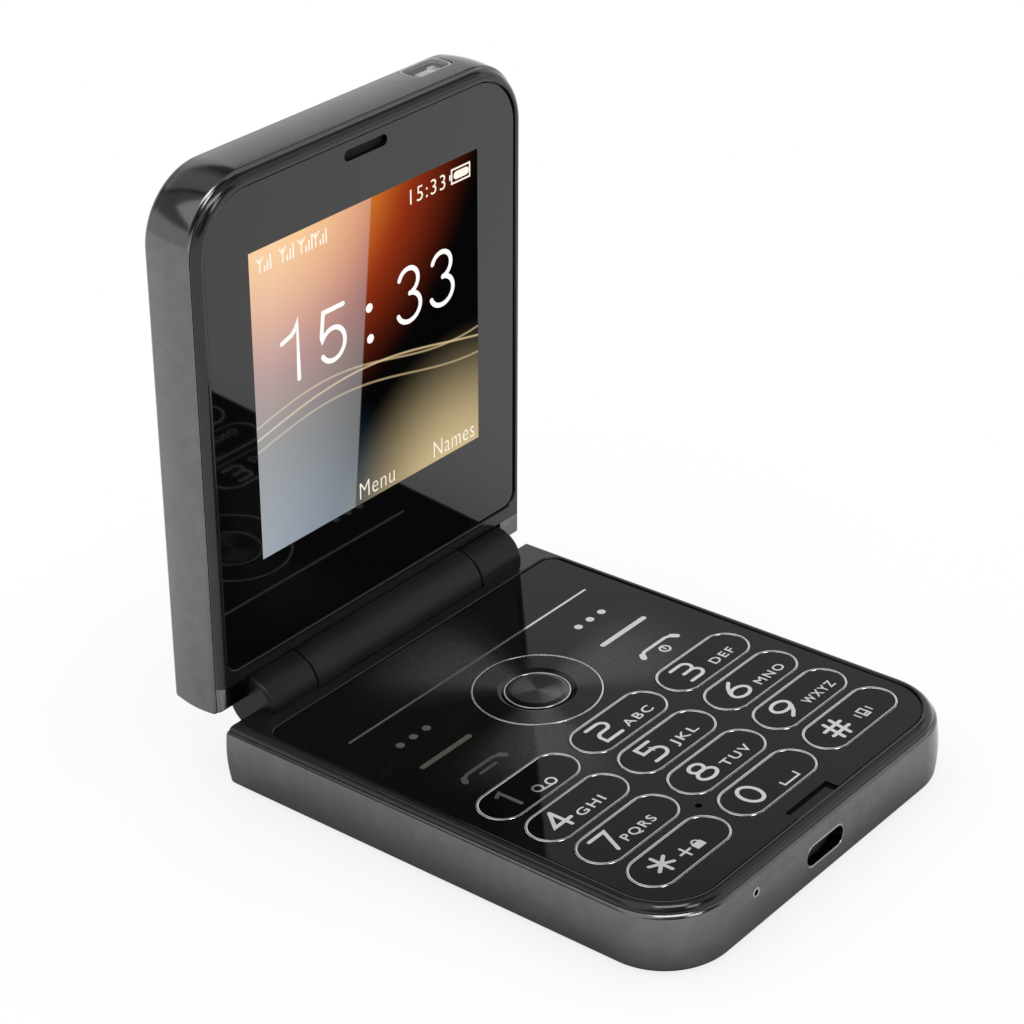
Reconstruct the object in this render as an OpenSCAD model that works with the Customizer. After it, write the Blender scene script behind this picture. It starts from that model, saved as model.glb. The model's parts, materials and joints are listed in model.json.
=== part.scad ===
// Flip phone: a keypad half and a screen half joined by a barrel hinge.
// The origin is the centre of the keypad half's underside, +Z is up, the hinge is at +Y.
// Both halves are drawn in a "half frame": z = 0 is the outer face and z grows towards the
// inner face. The screen half is drawn shut and then swung open about the hinge axis.

/* [Body] */
// Width of both halves across the crowned metal bands
body_w = 72.6; // [70:0.1:80]
// Length of each half, from the hinge end to the free end
body_len = 86.9; // [85:0.1:95]
// Radius of the two corners at the free end
corner_r = 11.3; // [8:0.1:13]
// Radius of the two corners at the hinge end
hinge_corner_r = 2.2; // [2.1:0.1:4]
// Thickness of the keypad half, underside to rim
base_t = 11.2; // [11:0.1:13]
// Thickness of the screen half, outer face to rim
lid_t = 10.5; // [10.3:0.1:12]
// How far the screen half is opened from shut, in degrees
lid_open = 86.8; // [0:0.1:160]

/* [Metal bands and rims] */
// Wall between the crowned outside of a band and its inside
band_wall = 2.0; // [1.6:0.1:2.1]
// How much the band bulges between its edges
band_crown = 0.3; // [0.1:0.05:0.4]
// Radius of the band's outer edge
band_round = 1.2; // [0.8:0.1:1.4]
// Bevel on the band's edge next to the rim
band_bevel = 0.15; // [0.05:0.05:0.25]
// Height of the black rim above the band
rim_h = 1.25; // [1:0.05:1.6]
// Step from the band's bevel in to the rim
rim_step = 0.35; // [0.2:0.05:0.5]
// Dark seam between the band and the rim
rim_seam = 0.1; // [0.05:0.05:0.2]
// Distance from the band's outside to the keypad panel or the screen glass
panel_margin = 2.45; // [2.3:0.05:3.5]
// Radius of the panel's corners at the hinge end
panel_hinge_r = 2.5; // [1:0.1:4]
// Distance from the hinge end to the panel's edge
panel_hinge_margin = 7.35; // [7.2:0.05:9]
// Thickness of the outer covers
cover_t = 1.2; // [1:0.1:1.4]

/* [Hinge] */
// Radius of the hinge barrel
barrel_r = 4.9; // [4.6:0.1:5]
// Half length of the middle part of the barrel, up to its seams
barrel_half = 19.6; // [17:0.1:21]
// Distance from the middle to the outer end of each knuckle
knuckle_end = 29.8; // [28:0.1:31]
// Gap at each seam of the barrel
seam_gap = 0.3; // [0.2:0.05:0.5]
// Gap round the barrel where it turns past the other half
barrel_clear = 0.4; // [0.3:0.05:0.6]
// Height of the hinge axis above the keypad half's rim
hinge_rise = 0.1; // [0:0.05:0.3]
// Distance of the hinge axis behind the hinge ends of both halves
hinge_gap = 0.1; // [0.1:0.05:0.4]
// Gap between the two rims when the phone is shut
closed_gap = 0.3; // [0.25:0.05:0.6]
// Radius of the bores that take the cam unit and the plain pin
hinge_bore_r = 3.2; // [2.8:0.1:3.4]
// Radius of the plain pin's shaft
pin_r = 1.5; // [1.3:0.05:1.8]
// Length of the spring in the barrel
spring_len = 9.6; // [8:0.1:10]
// Turns of the spring
spring_turns = 7; // [5:1:8]

/* [Keypad] */
// Distance of the outer keys from the panel's sides
key_side = 2.65; // [2:0.05:4]
// Space between keys side by side
key_space_x = 1.74; // [1.5:0.02:3]
// Space between the rows of keys
key_space_y = 1.4; // [1.2:0.05:2]
// Spacing of the key rows
key_pitch_y = 9.1; // [8:0.05:10]
// Distance from the panel's free edge to the middle of the last row
key_front = 8.87; // [8.5:0.01:9.5]
// Space between the first row of keys and the navigation ring
nav_space = 1.77; // [1.4:0.01:3]
// Outer radius of the navigation ring
nav_r = 10.27; // [9.8:0.01:10.5]
// Radius of the middle button
ok_r = 5.25; // [4.8:0.01:5.5]
// Gap round each key cap in the panel
key_gap = 0.12; // [0.08:0.01:0.2]
// How far a key goes down
key_travel = 0.35; // [0.2:0.05:0.4]
// How far the caps stand above the panel
key_rise = 0.1; // [0:0.05:0.2]
// Thickness of the keypad panel
panel_t = 0.9; // [0.8:0.05:1]
// How far the keypad panel lies below the rim
panel_sink = 0.2; // [0.1:0.05:0.3]
// Radius of the microphone hole in the panel
mic_hole_r = 0.55; // [0.4:0.05:0.8]

/* [Port and front hole] */
// Width of the port's opening
port_w = 9.3; // [9.2:0.05:9.6]
// Height of the port's opening
port_h = 3.4; // [3.3:0.05:3.5]
// Distance of the port to the left of the middle
port_left = 1.7; // [0:0.1:3]
// How far the port's opening lies below the top of the board
port_drop = 0.2; // [0.2:0.05:0.5]
// Distance of the front microphone hole to the left of the middle
front_mic_left = 17; // [14:0.1:20]
// How far the front microphone hole lies below the board
front_mic_drop = 0.3; // [0.2:0.05:0.6]
// Radius of the front microphone hole
front_mic_r = 0.5; // [0.4:0.05:0.6]

/* [Screen] */
// Width of the lit area
screen_w = 50; // [48:0.1:52]
// Height of the lit area
screen_h = 50.4; // [48:0.1:52]
// Distance from the glass's free edge to the lit area
screen_top = 10.5; // [9.5:0.1:12]
// Thickness of the screen glass
glass_t = 0.9; // [0.8:0.05:1]
// How far the screen glass lies below the rim
glass_sink = 0.3; // [0.1:0.05:0.4]
// Length of the earpiece slot
ear_slot_l = 9.3; // [8:0.1:11]
// Width of the earpiece slot
ear_slot_w = 1.8; // [1.5:0.1:2]
// Distance from the glass's free edge to the slot's middle
ear_slot_in = 2.35; // [2.2:0.05:2.8]
// Width of the torch window in the free end
torch_w = 8.6; // [7:0.1:9.5]
// Height of the torch window
torch_h = 4.6; // [3.6:0.1:5]
// Distance of the torch window to the right of the middle
torch_right = 20.6; // [14:0.1:21]

/* [Inside] */
// Thickness of the main circuit board
board_t = 0.7; // [0.6:0.05:0.8]
// Height of the shield cans under the main board
can_h = 0.75; // [0.6:0.05:0.9]
// Width of the battery
battery_w = 53; // [48:0.5:54]
// Length of the battery
battery_l = 40; // [36:0.5:41]
// Radius of the case screws' shanks
screw_r = 0.7; // [0.6:0.05:0.8]
// Distance of the screws from the band's inside
screw_in = 1.5; // [1.45:0.05:1.6]
// Distance from the middle to the front pair of screws
screw_front = 20; // [16:0.5:24]
// Distance from the middle to the rear pair of screws
screw_rear = 31; // [28:0.5:32]

/* [Hidden] */
$fn = 72;

// Clearance of pieces that are pressed or glued together
fit = 0.05;
// Overlap that makes joined shapes one solid
eps = 0.01;
// Room round a piece in its pocket
pocket_gap = 0.2;
// How far a cut runs past the face that it opens
past = 1;

// Outline of both halves and of what lies in them
y_free = -body_len / 2;
y_hinge = body_len / 2;
hinge_y = y_hinge + hinge_gap;
hinge_z = base_t + hinge_rise;
lid_back = lid_t + closed_gap - hinge_rise;
swing_r = barrel_r + barrel_clear;
lining_t = 0.9;
lining_r = swing_r + lining_t;
knuckle_start = barrel_half + seam_gap / 2;
knuckle_room = knuckle_end + 0.3;
knuckle_cap = 1;
barrel_stop = barrel_half - seam_gap / 2;
panel_y0 = y_free + panel_margin;
panel_y1 = y_hinge - panel_hinge_margin;
rim_in = band_crown + band_bevel + rim_step;
inner_x = body_w / 2 - band_wall;

// Heights in the keypad half, from the rim down
band_top = base_t - rim_h;
panel_top = base_t - panel_sink;
panel_bot = panel_top - panel_t;
flange_t = 0.5;
key_bot = panel_bot - 0.1 - flange_t;
pad_gap = 0.05;
pad_top = key_bot - key_travel - pad_gap;
nav_lift = 0.55;
nav_flange_t = 0.45;
nav_flange_out = 0.5;
ok_gap = 0.2;
nav_bot = panel_bot - nav_lift - nav_flange_t;
rocker_top = nav_bot - 0.4;
rocker_t = 0.2;
rocker_in = 1.9;
rocker_bore_gap = 0.7;
keymat_top = rocker_top - rocker_t - 0.3;
keymat_t = 0.3;
keymat_bot = keymat_top - keymat_t;
dome_h = 0.25;
film_t = 0.1;
dome_gap = 0.15;
board_top = keymat_bot - dome_gap - dome_h - film_t;
board_bot = board_top - board_t;
chassis_top = board_bot - can_h - fit;
chassis_bot = cover_t + fit;
bay_roof = 0.45;
battery_gap = 0.2;
battery_t = chassis_top - bay_roof - cover_t - 2 * battery_gap;
deck_ledge = 0.9;
deck_bot = panel_bot - deck_ledge;
trough_lap = 0.5;

// Pieces in the barrel
follower_len = 7.5;
follower_tip = 2.3 - knuckle_end;
pin_len = 9;

// Places on the keypad
rows = 4;
cols = 3;
key_w = (body_w - 2 * panel_margin - 2 * key_side - (cols - 1) * key_space_x) / cols;
key_d = key_pitch_y - key_space_y;
key_pitch_x = key_w + key_space_x;
last_row_y = panel_y0 + key_front;
first_row_y = last_row_y + (rows - 1) * key_pitch_y;
nav_y = first_row_y + key_d / 2 + nav_space + nav_r;
flange_gap = 0.3;
flange_out = min(key_space_x, key_space_y) / 2 - flange_gap;
flap_w = 10.2;
flap_d = 2.6;
flap_sink = 0.55;
mic_x = -key_pitch_x / 2;
mic_y = last_row_y + key_pitch_y / 2;
opening_x = key_pitch_x + key_w / 2 + flange_out + 0.35;
opening_y0 = last_row_y - key_d / 2 - flange_out - 1;
opening_y1 = nav_y + nav_r + 1.5;

// Places in the keypad half
board_x = inner_x - 3.4;
board_y0 = y_free + band_wall + 0.6;
board_y1 = hinge_y - lining_r - 0.2;
port_x = -port_left;
port_z = board_top - port_drop - port_h / 2;
port_y0 = y_free + band_wall + 0.2;
port_depth = 7.3;
port_wall = 0.25;
battery_y = -1.5;
battery_y0 = battery_y - battery_l / 2;
battery_y1 = battery_y + battery_l / 2;
front_bay_y = (board_y0 + battery_y0) / 2;
can_x = 14.5;
can_w = 22;
can_l = 30;
contact_pitch = 3.5;
contact_w = 1.2;
contact_t = 0.3;
contact_h = 1.2;
sim_x = 16;
sim_w = 17;
sim_t = 1.5;
sim_y0 = battery_y1 + 1.8;
sim_y1 = board_y1 - 1;
speaker_in = 12.8;
speaker_x = speaker_in - inner_x;
speaker_w = 15;
speaker_l = 11;
speaker_box_t = 2.4;
speaker_cone_r = 4;
speaker_cone_t = 0.6;
slot_count = 5;
slot_pitch = 2.4;
slot_l = 7;
slot_w = 1.2;
motor_in = 20.3;
motor_x = inner_x - motor_in;
motor_r = 4;
motor_t = 2.7;
aerial_in = 10.3;
aerial_x = inner_x - aerial_in;
aerial_w = 8;
aerial_l = 10;
mic_w = 3;
mic_d = 2.2;
mic_t = 1;
front_mic_x = -front_mic_left;
front_mic_z = board_bot - front_mic_drop;
port_tongue_w = 6.6;
port_tongue_t = 0.7;
port_back = 1;

// Case screws
screw_x = inner_x - screw_in;
boss_r = 1.4;
head_r = 1.2;
head_t = 0.8;
socket_r = 0.5;
socket_d = 0.45;

// Switches under the keys
dome_r = 2;
dome_top_r = 1.3;
nub_r = 0.9;
stem_r = 2;
ring_domes_r = (ok_r + nav_r) / 2;

// Heights and places in the screen half
lid_band_top = lid_t - rim_h;
glass_top = lid_t - glass_sink;
glass_bot = glass_top - glass_t;
bezel_ledge = 0.8;
bezel_bot = glass_bot - bezel_ledge;
display_t = 1.9;
backlight_t = 0.9;
display_bot = glass_bot - fit - display_t;
backlight_bot = display_bot - fit - backlight_t;
midframe_t = 0.6;
midframe_top = backlight_bot - fit;
midframe_bot = midframe_top - midframe_t;
lid_board_t = 0.8;
lid_board_top = midframe_bot - 0.2;
lid_board_bot = lid_board_top - lid_board_t;
screen_y0 = panel_y0 + screen_top;
display_edge = 1.5;
display_tail = 5;
display_w = screen_w + 2 * display_edge;
display_y0 = screen_y0 - display_edge;
display_y1 = screen_y0 + screen_h + display_tail;
ear_y = panel_y0 + ear_slot_in;
ear_w = 12;
ear_d = 4;
ear_t = 2.4;
mesh_t = 0.2;
mesh_lap = 0.7;
torch_z = 3.75;
torch_lip = 0.8;
torch_sink = 0.15;
torch_corner_r = 1.2;
torch_room = 3.5;
led_w = 3.4;
led_d = 2.4;
led_t = 1.6;
led_y = y_free + band_wall + 0.4;
lid_board_w = 48;
lid_board_y0 = y_free + band_wall + 4;
magnet_x = -20;
magnet_r = 1.6;
bezel_end = hinge_y - lining_r + 0.95;
tongue_x = 16;
tongue_t = 1.4;
tongue_slot_in = 3.2;
tongue_top = bezel_bot - 0.2;
tongue_l = 4.5;
tongue_y0 = hinge_y - lining_r - tongue_l;
flex_x0 = 4.9;
flex_gap = 0.15;
flex_w = 3.2;
flex_t = 0.2;
flex_r = 0.8;
flex_y0 = tongue_y0 - 3;
flex_z = tongue_top - tongue_t - 0.15 - flex_t;

// ---------- shapes shared by the pieces ----------

// Outline with true round corners: rf at the free end (low y), rr at the hinge end
module outline(w, y0, y1, rf, rr) {
    translate([-w / 2, y0 + rf]) square([w, y1 - y0 - rf - rr]);
    translate([-w / 2 + rf, y0]) square([w - 2 * rf, rf + eps]);
    translate([-w / 2 + rr, y1 - rr - eps]) square([w - 2 * rr, rr + eps]);
    for (s = [-1, 1]) {
        translate([s * (w / 2 - rf), y0 + rf]) circle(rf);
        translate([s * (w / 2 - rr), y1 - rr]) circle(rr);
    }
}

// Outline of a half, drawn in by an amount
module half_outline(in) {
    outline(body_w - 2 * in, y_free + in, y_hinge - in, corner_r - in,
            max(hinge_corner_r - in, 0.15));
}

// Slab whose edge follows a profile: a list of [distance in, height], lowest first
module edged_slab(prof) {
    low = prof[0][1];
    high = prof[len(prof) - 1][1];
    x = body_w / 2;
    r = corner_r;
    q = hinge_corner_r;
    n = len(prof) - 1;
    for (s = [-1, 1]) {
        translate([s * (x - r), y_free + r, 0]) edge_turn(prof, r);
        translate([s * (x - q), y_hinge - q, 0]) edge_turn(prof, q);
    }
    translate([0, y_hinge - q, 0]) rotate([90, 0, 0]) linear_extrude(body_len - r - q)
        polygon(concat([for (p = prof) [x - p[0], p[1]]],
                       [for (i = [n:-1:0]) [prof[i][0] - x, prof[i][1]]]));
    translate([r - x, 0, 0]) rotate([90, 0, 90]) linear_extrude(2 * (x - r))
        polygon(concat([[y_free + r + eps, low]], [for (p = prof) [y_free + p[0], p[1]]],
                       [[y_free + r + eps, high]]));
    translate([q - x, 0, 0]) rotate([90, 0, 90]) linear_extrude(2 * (x - q))
        polygon(concat([[y_hinge - q - eps, low]], [for (p = prof) [y_hinge - p[0], p[1]]],
                       [[y_hinge - q - eps, high]]));
}

// Turned corner of an edged slab
module edge_turn(prof, r) {
    rotate_extrude() polygon(concat([[0, prof[0][1]]], [for (p = prof) [r - p[0], p[1]]],
                                    [[0, prof[len(prof) - 1][1]]]));
}

// Edge of a metal band from the outer face up to its top: round, crown and bevel
function band_profile(top) = let (
    foot = cover_t * 0.2,
    low = foot + band_round,
    high = top - band_bevel
) concat(
    [for (a = [0:22.5:90]) [band_crown + band_round * (1 - sin(a)),
                            foot + band_round * (1 - cos(a))]],
    [for (u = [0.25:0.25:0.75]) [band_crown * (1 - 4 * u * (1 - u)), low + u * (high - low)]],
    [[band_crown, high], [band_crown + band_bevel, top]]);

// Edge of a black rim: a short wall that rounds over to the flat beside the panel
function rim_profile(top) = let (
    low = top - rim_h + rim_seam,
    over_w = panel_margin - 0.45 - rim_in,
    over_h = rim_h - rim_seam - 0.3
) concat(
    [[rim_in, low]],
    [for (a = [0:22.5:90]) [rim_in + over_w * (1 - cos(a)), low + 0.3 + over_h * sin(a)]]);

// Metal band of a half
module band(top) {
    difference() {
        edged_slab(band_profile(top));
        translate([0, 0, -past]) linear_extrude(top + 2 * past) half_outline(band_wall);
    }
}

// Opening for the keypad panel or the glass, with a gap all round
module panel_outline(gap = 0) {
    outline(body_w - 2 * (panel_margin - gap), panel_y0 - gap, panel_y1 + gap,
            corner_r - panel_margin + gap, panel_hinge_r + gap);
}

// Cylinder along the hinge axis from x0 to x1, in the frame of the keypad half
module axis_rod(r, x0, x1) {
    translate([x0, hinge_y, hinge_z]) rotate([0, 90, 0]) cylinder(r = r, h = x1 - x0);
}

// The same cylinder in the half frame of the screen half
module lid_axis_rod(r, x0, x1) {
    translate([x0, hinge_y, lid_back]) rotate([0, 90, 0]) cylinder(r = r, h = x1 - x0);
}

// Places a piece of the screen half: drawn shut, then swung open about the hinge
module lid() {
    translate([0, hinge_y, hinge_z]) rotate([-lid_open, 0, 0])
        translate([0, -hinge_y, lid_back]) mirror([0, 0, 1]) children();
}

// Pill shape of a key, w wide and d deep
module pill(w, d) {
    square([w - d, d], center = true);
    for (s = [-1, 1]) translate([s * (w - d) / 2, 0]) circle(d / 2);
}

// Block from one corner to the opposite one
module block(a, b) {
    translate(a) cube(b - a);
}

// The four screw places of a half
module at_screws() {
    for (s = [-1, 1], y = [-screw_front, screw_rear]) translate([s * screw_x, y, 0]) children();
}

// Place of the key in column c and row r
module at_key(c, r) {
    translate([(c - 1) * key_pitch_x, first_row_y - r * key_pitch_y, 0]) children();
}

// ---------- keypad half ----------

// Plated band round the keypad half, with the port and microphone holes
module base_frame() color([0.40, 0.40, 0.42]) {
    difference() {
        band(band_top);
        axis_rod(swing_r, -knuckle_start, knuckle_start);
        axis_rod(barrel_r + fit, -knuckle_end - fit, knuckle_end + fit);
        translate([port_x, y_free - past, port_z]) rotate([-90, 0, 0])
            linear_extrude(band_wall + 2 * past) pill(port_w, port_h);
        translate([front_mic_x, y_free - past, front_mic_z]) rotate([-90, 0, 0])
            cylinder(r = front_mic_r, h = band_wall + 2 * past, $fn = 24);
    }
}

// Back cover, which lifts off over the battery
module back_cover() color([0.10, 0.10, 0.11]) {
    difference() {
        linear_extrude(cover_t) half_outline(band_wall + fit);
        for (k = [0:slot_count - 1])
            translate([speaker_x + (k - (slot_count - 1) / 2) * slot_pitch, front_bay_y, -past])
                linear_extrude(cover_t + 2 * past) rotate(90) pill(slot_l, slot_w);
    }
}

// Inner tray: battery bay, screw seats, pockets for the speaker, motor and port
module base_chassis() color([0.16, 0.16, 0.17]) {
    difference() {
        translate([0, 0, chassis_bot]) linear_extrude(chassis_top - chassis_bot)
            half_outline(band_wall);
        axis_rod(lining_r + 2 * fit, -inner_x, inner_x);
        block([-battery_w / 2 - battery_gap, battery_y0 - battery_gap, 0],
              [battery_w / 2 + battery_gap, battery_y1 + battery_gap, chassis_top - bay_roof]);
        for (s = [-1, 1]) translate([s * sim_x, 0, 0])
            block([-sim_w / 2 - pocket_gap, sim_y0 - pocket_gap, 0],
                  [sim_w / 2 + pocket_gap, sim_y1 + pocket_gap, base_t]);
        translate([speaker_x, front_bay_y, 0])
            block([-speaker_w / 2 - pocket_gap, -speaker_l / 2 - pocket_gap, 0],
                  [speaker_w / 2 + pocket_gap, speaker_l / 2 + pocket_gap,
                   chassis_bot + fit + speaker_box_t + speaker_cone_t + pocket_gap]);
        translate([motor_x, front_bay_y, 0])
            cylinder(r = motor_r + pocket_gap, h = chassis_bot + fit + motor_t + pocket_gap);
        block([port_x - port_w / 2 - pocket_gap, y_free, port_z - port_h / 2 - pocket_gap],
              [port_x + port_w / 2 + pocket_gap, board_y0 + port_depth, base_t]);
        block([front_mic_x - mic_w / 2 - pocket_gap, y_free, board_bot - mic_t - pocket_gap],
              [front_mic_x + mic_w / 2 + pocket_gap, board_y0 + mic_d + 2 * pocket_gap, base_t]);
        block([-contact_pitch - contact_w, battery_y1, 0],
              [contact_pitch + contact_w, battery_y1 + battery_gap + 3 * contact_t, base_t]);
        at_screws() {
            cylinder(r = screw_r + 2 * fit, h = base_t);
            cylinder(r = head_r + pocket_gap, h = chassis_bot + 2 * fit + head_t);
        }
    }
}

// Flat battery under the back cover
module battery() color([0.75, 0.76, 0.78]) {
    translate([0, 0, cover_t + battery_gap]) linear_extrude(battery_t)
        outline(battery_w, battery_y0, battery_y1, 1.5, 1.5);
}

// Three bent spring contacts that touch the battery's end
module battery_contacts() color([0.85, 0.70, 0.35]) {
    foot = cover_t + contact_h;
    for (k = [-1:1])
        translate([contact_pitch * k - contact_w / 2, battery_y1 + battery_gap / 2, 0]) {
            block([0, contact_t, foot], [contact_w, 2 * contact_t, board_bot]);
            block([0, 0, foot], [contact_w, contact_t + eps, foot + contact_h]);
        }
}

// Main circuit board, notched for the port
module main_board() color([0.10, 0.25, 0.18]) {
    difference() {
        translate([0, 0, board_bot]) linear_extrude(board_t)
            outline(2 * board_x, board_y0, board_y1, corner_r - band_wall - 0.6, 1.5);
        block([port_x - port_w / 2 - pocket_gap, y_free, 0],
              [port_x + port_w / 2 + pocket_gap, port_y0 + port_depth, base_t]);
    }
}

// Two pressed shield cans under the board
module shield_cans() color([0.78, 0.78, 0.80]) {
    for (s = [-1, 1]) translate([s * can_x, battery_y, board_bot - can_h])
        block([-can_w / 2, -can_l / 2, 0], [can_w / 2, can_l / 2, can_h]);
}

// Two card holders, reached past the battery
module sim_holders() color([0.72, 0.72, 0.74]) {
    for (s = [-1, 1]) translate([s * sim_x, 0, 0])
        block([-sim_w / 2, sim_y0, board_bot - sim_t], [sim_w / 2, sim_y1, board_bot]);
}

// Drawn steel shell of the charging port, closed at its back
module charging_port_shell() color([0.70, 0.70, 0.72]) {
    w = port_w - 6 * fit;
    h = port_h - 4 * fit;
    translate([port_x, port_y0, port_z]) rotate([-90, 0, 0]) difference() {
        linear_extrude(port_depth) pill(w, h);
        translate([0, 0, -past]) linear_extrude(port_depth - port_back + past)
            pill(w - 2 * port_wall, h - 2 * port_wall);
    }
}

// Contact tongue in the middle of the port
module charging_port_tongue() color([0.08, 0.08, 0.08]) {
    translate([port_x, port_y0, port_z])
        block([-port_tongue_w / 2, port_back, -port_tongue_t / 2],
              [port_tongue_w / 2, port_depth - port_back, port_tongue_t / 2]);
}

// Two microphones: one behind the front hole, one on the board below the panel's hole
module microphones() color([0.80, 0.72, 0.45]) {
    translate([front_mic_x, board_y0 + pocket_gap, board_bot - mic_t])
        block([-mic_w / 2, 0, 0], [mic_w / 2, mic_d, mic_t]);
    translate([mic_x, mic_y, board_top])
        block([-mic_w / 2, -mic_d / 2, 0], [mic_w / 2, mic_d / 2, mic_t]);
}

// Loudspeaker behind the slots of the back cover
module loudspeaker() color([0.20, 0.20, 0.20]) {
    translate([speaker_x, front_bay_y, chassis_bot + fit]) {
        block([-speaker_w / 2, -speaker_l / 2, 0], [speaker_w / 2, speaker_l / 2, speaker_box_t]);
        translate([0, 0, speaker_box_t - eps]) cylinder(r = speaker_cone_r, h = speaker_cone_t);
    }
}

// Coin vibration motor
module vibration_motor() color([0.66, 0.66, 0.68]) {
    translate([motor_x, front_bay_y, chassis_bot + fit]) cylinder(r = motor_r, h = motor_t);
}

// Flat aerial on the underside of the tray
module antenna() color([0.80, 0.62, 0.30]) {
    translate([aerial_x, front_bay_y, chassis_bot - fit])
        block([-aerial_w / 2, -aerial_l / 2, 0], [aerial_w / 2, aerial_l / 2, fit]);
}

// Case screw, head down, with its underside at z = 0 and its tip at a height
module case_screw(tip) {
    difference() {
        cylinder(r = head_r, h = head_t);
        translate([0, 0, -eps]) cylinder(r = socket_r, h = socket_d, $fn = 6);
    }
    translate([0, 0, head_t - eps]) cylinder(r = screw_r - fit / 2, h = tip - head_t + eps);
}

// Four case screws of the keypad half
module base_screws() color([0.55, 0.55, 0.57]) {
    foot = chassis_bot + 2 * fit;
    at_screws() translate([0, 0, foot]) case_screw(deck_bot - 0.4 - foot);
}

// Switch film on the board: a snap dome under every key and five under the ring
module dome_sheet() color([0.80, 0.80, 0.82]) {
    translate([0, 0, board_top]) {
        linear_extrude(film_t)
            mat_outline();
        at_switches() dome();
    }
}

// Shape of the switch film and the mat, open round the upper microphone
module mat_outline() {
    difference() {
        outline(2 * board_x - 1, opening_y0 + 0.5, opening_y1, 2, 2);
        translate([mic_x, mic_y])
            square([mic_w + 2 * pocket_gap, mic_d + 2 * pocket_gap], center = true);
    }
}

// The switches: one under each key, four under the ring and one under the middle button
module at_switches() {
    for (c = [0:cols - 1], r = [0:rows - 1]) at_key(c, r) children();
    translate([0, nav_y, 0]) {
        for (a = [0:90:270]) rotate(a) translate([ring_domes_r, 0, 0]) children();
        children();
    }
}

// One snap dome
module dome() {
    translate([0, 0, film_t - eps])
        cylinder(r1 = dome_r, r2 = dome_top_r, h = dome_h + eps, $fn = 32);
}

// Rubber mat with a pad under each key and a nub over each switch
module keymat() color([0.55, 0.56, 0.58]) {
    translate([0, 0, keymat_bot]) linear_extrude(keymat_t) mat_outline();
    for (c = [0:cols - 1], r = [0:rows - 1]) at_key(c, r)
        translate([0, 0, keymat_top - eps]) linear_extrude(pad_top - keymat_top + eps)
            pill(key_w - 4, key_d - 3);
    at_switches() translate([0, 0, keymat_bot - dome_gap + fit])
        cylinder(r = nub_r, h = dome_gap, $fn = 32);
}

// Black upper housing: rim, ledge under the panel, barrel trough and outer knuckles
module keypad_deck() color([0.07, 0.07, 0.08]) {
    difference() {
        union() {
            edged_slab(rim_profile(base_t));
            translate([0, 0, deck_bot]) linear_extrude(band_top + rim_seam - deck_bot + eps)
                half_outline(band_wall);
            at_screws() translate([0, 0, chassis_top + fit])
                cylinder(r = boss_r, h = deck_bot - chassis_top);
            intersection() {
                axis_rod(lining_r, -knuckle_end, knuckle_end);
                block([-inner_x, 0, 0], [inner_x, y_hinge - band_wall, deck_bot + trough_lap]);
            }
            for (s = [-1, 1]) axis_rod(barrel_r, s > 0 ? knuckle_start : -knuckle_end,
                                       s > 0 ? knuckle_end : -knuckle_start);
        }
        translate([0, 0, panel_bot]) linear_extrude(base_t) panel_outline(fit);
        translate([0, 0, deck_bot - past]) linear_extrude(base_t)
            outline(2 * opening_x, opening_y0, opening_y1, 3, 2);
        axis_rod(swing_r, -knuckle_start, knuckle_start);
        for (s = [-1, 1])
            axis_rod(hinge_bore_r, s > 0 ? knuckle_start - past : knuckle_cap - knuckle_end,
                     s > 0 ? knuckle_end - knuckle_cap : past - knuckle_start);
        at_screws() cylinder(r = screw_r, h = deck_bot - 0.2);
    }
}

// Glossy keypad panel with the holes for the caps, the ring and the microphone
module keypad_panel() color([0.05, 0.05, 0.06]) {
    translate([0, 0, panel_bot]) difference() {
        linear_extrude(panel_t) difference() {
            panel_outline();
            for (c = [0:cols - 1], r = [0:rows - 1])
                translate([(c - 1) * key_pitch_x, first_row_y - r * key_pitch_y])
                    pill(key_w + 2 * key_gap, key_d + 2 * key_gap);
            translate([0, nav_y]) circle(nav_r + key_gap);
            translate([mic_x, mic_y]) circle(mic_hole_r);
        }
        block([-flap_w / 2, panel_y0 - past, panel_t - flap_sink],
              [flap_w / 2, panel_y0 + flap_d, base_t]);
    }
}

// Key cap with its flange under the panel
module key(c, r) color([0.06, 0.06, 0.07]) {
    at_key(c, r) {
        translate([0, 0, key_bot]) linear_extrude(flange_t)
            pill(key_w + 2 * flange_out, key_d + 2 * flange_out);
        translate([0, 0, key_bot]) linear_extrude(panel_top + key_rise - key_bot) pill(key_w, key_d);
    }
}

// Carrier under the ring, which tips forwards and back
module nav_rocker_pad() color([0.25, 0.25, 0.26]) {
    translate([0, nav_y, rocker_top - rocker_t]) difference() {
        cylinder(r = nav_r - rocker_in, h = rocker_t);
        translate([0, 0, -past]) cylinder(r = ok_r + rocker_bore_gap, h = rocker_t + 2 * past);
    }
}

// Navigation ring, which tips to the sides on its carrier
module nav_ring() color([0.09, 0.09, 0.10]) {
    translate([0, nav_y, nav_bot]) difference() {
        union() {
            cylinder(r = nav_r + nav_flange_out, h = nav_flange_t);
            cylinder(r = nav_r, h = panel_top + key_rise / 2 - nav_bot);
        }
        translate([0, 0, -past]) cylinder(r = ok_r + ok_gap, h = base_t);
    }
}

// Middle button
module ok_button() color([0.12, 0.12, 0.13]) {
    cap_bot = nav_bot + 0.1;
    stem_bot = keymat_top + key_travel + pad_gap;
    translate([0, nav_y, cap_bot]) cylinder(r = ok_r, h = panel_top + key_rise - cap_bot);
    translate([0, nav_y, stem_bot]) cylinder(r = stem_r, h = cap_bot + eps - stem_bot);
}

// ---------- hinge ----------

// Cam unit's fixed part, pressed into the left knuckle
module hinge_cam_housing() color([0.60, 0.58, 0.55]) {
    difference() {
        axis_rod(hinge_bore_r - fit, knuckle_cap + fit - knuckle_end, -knuckle_start);
        axis_rod(pin_r + fit, follower_tip - 2 * fit, 0);
    }
}

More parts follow.
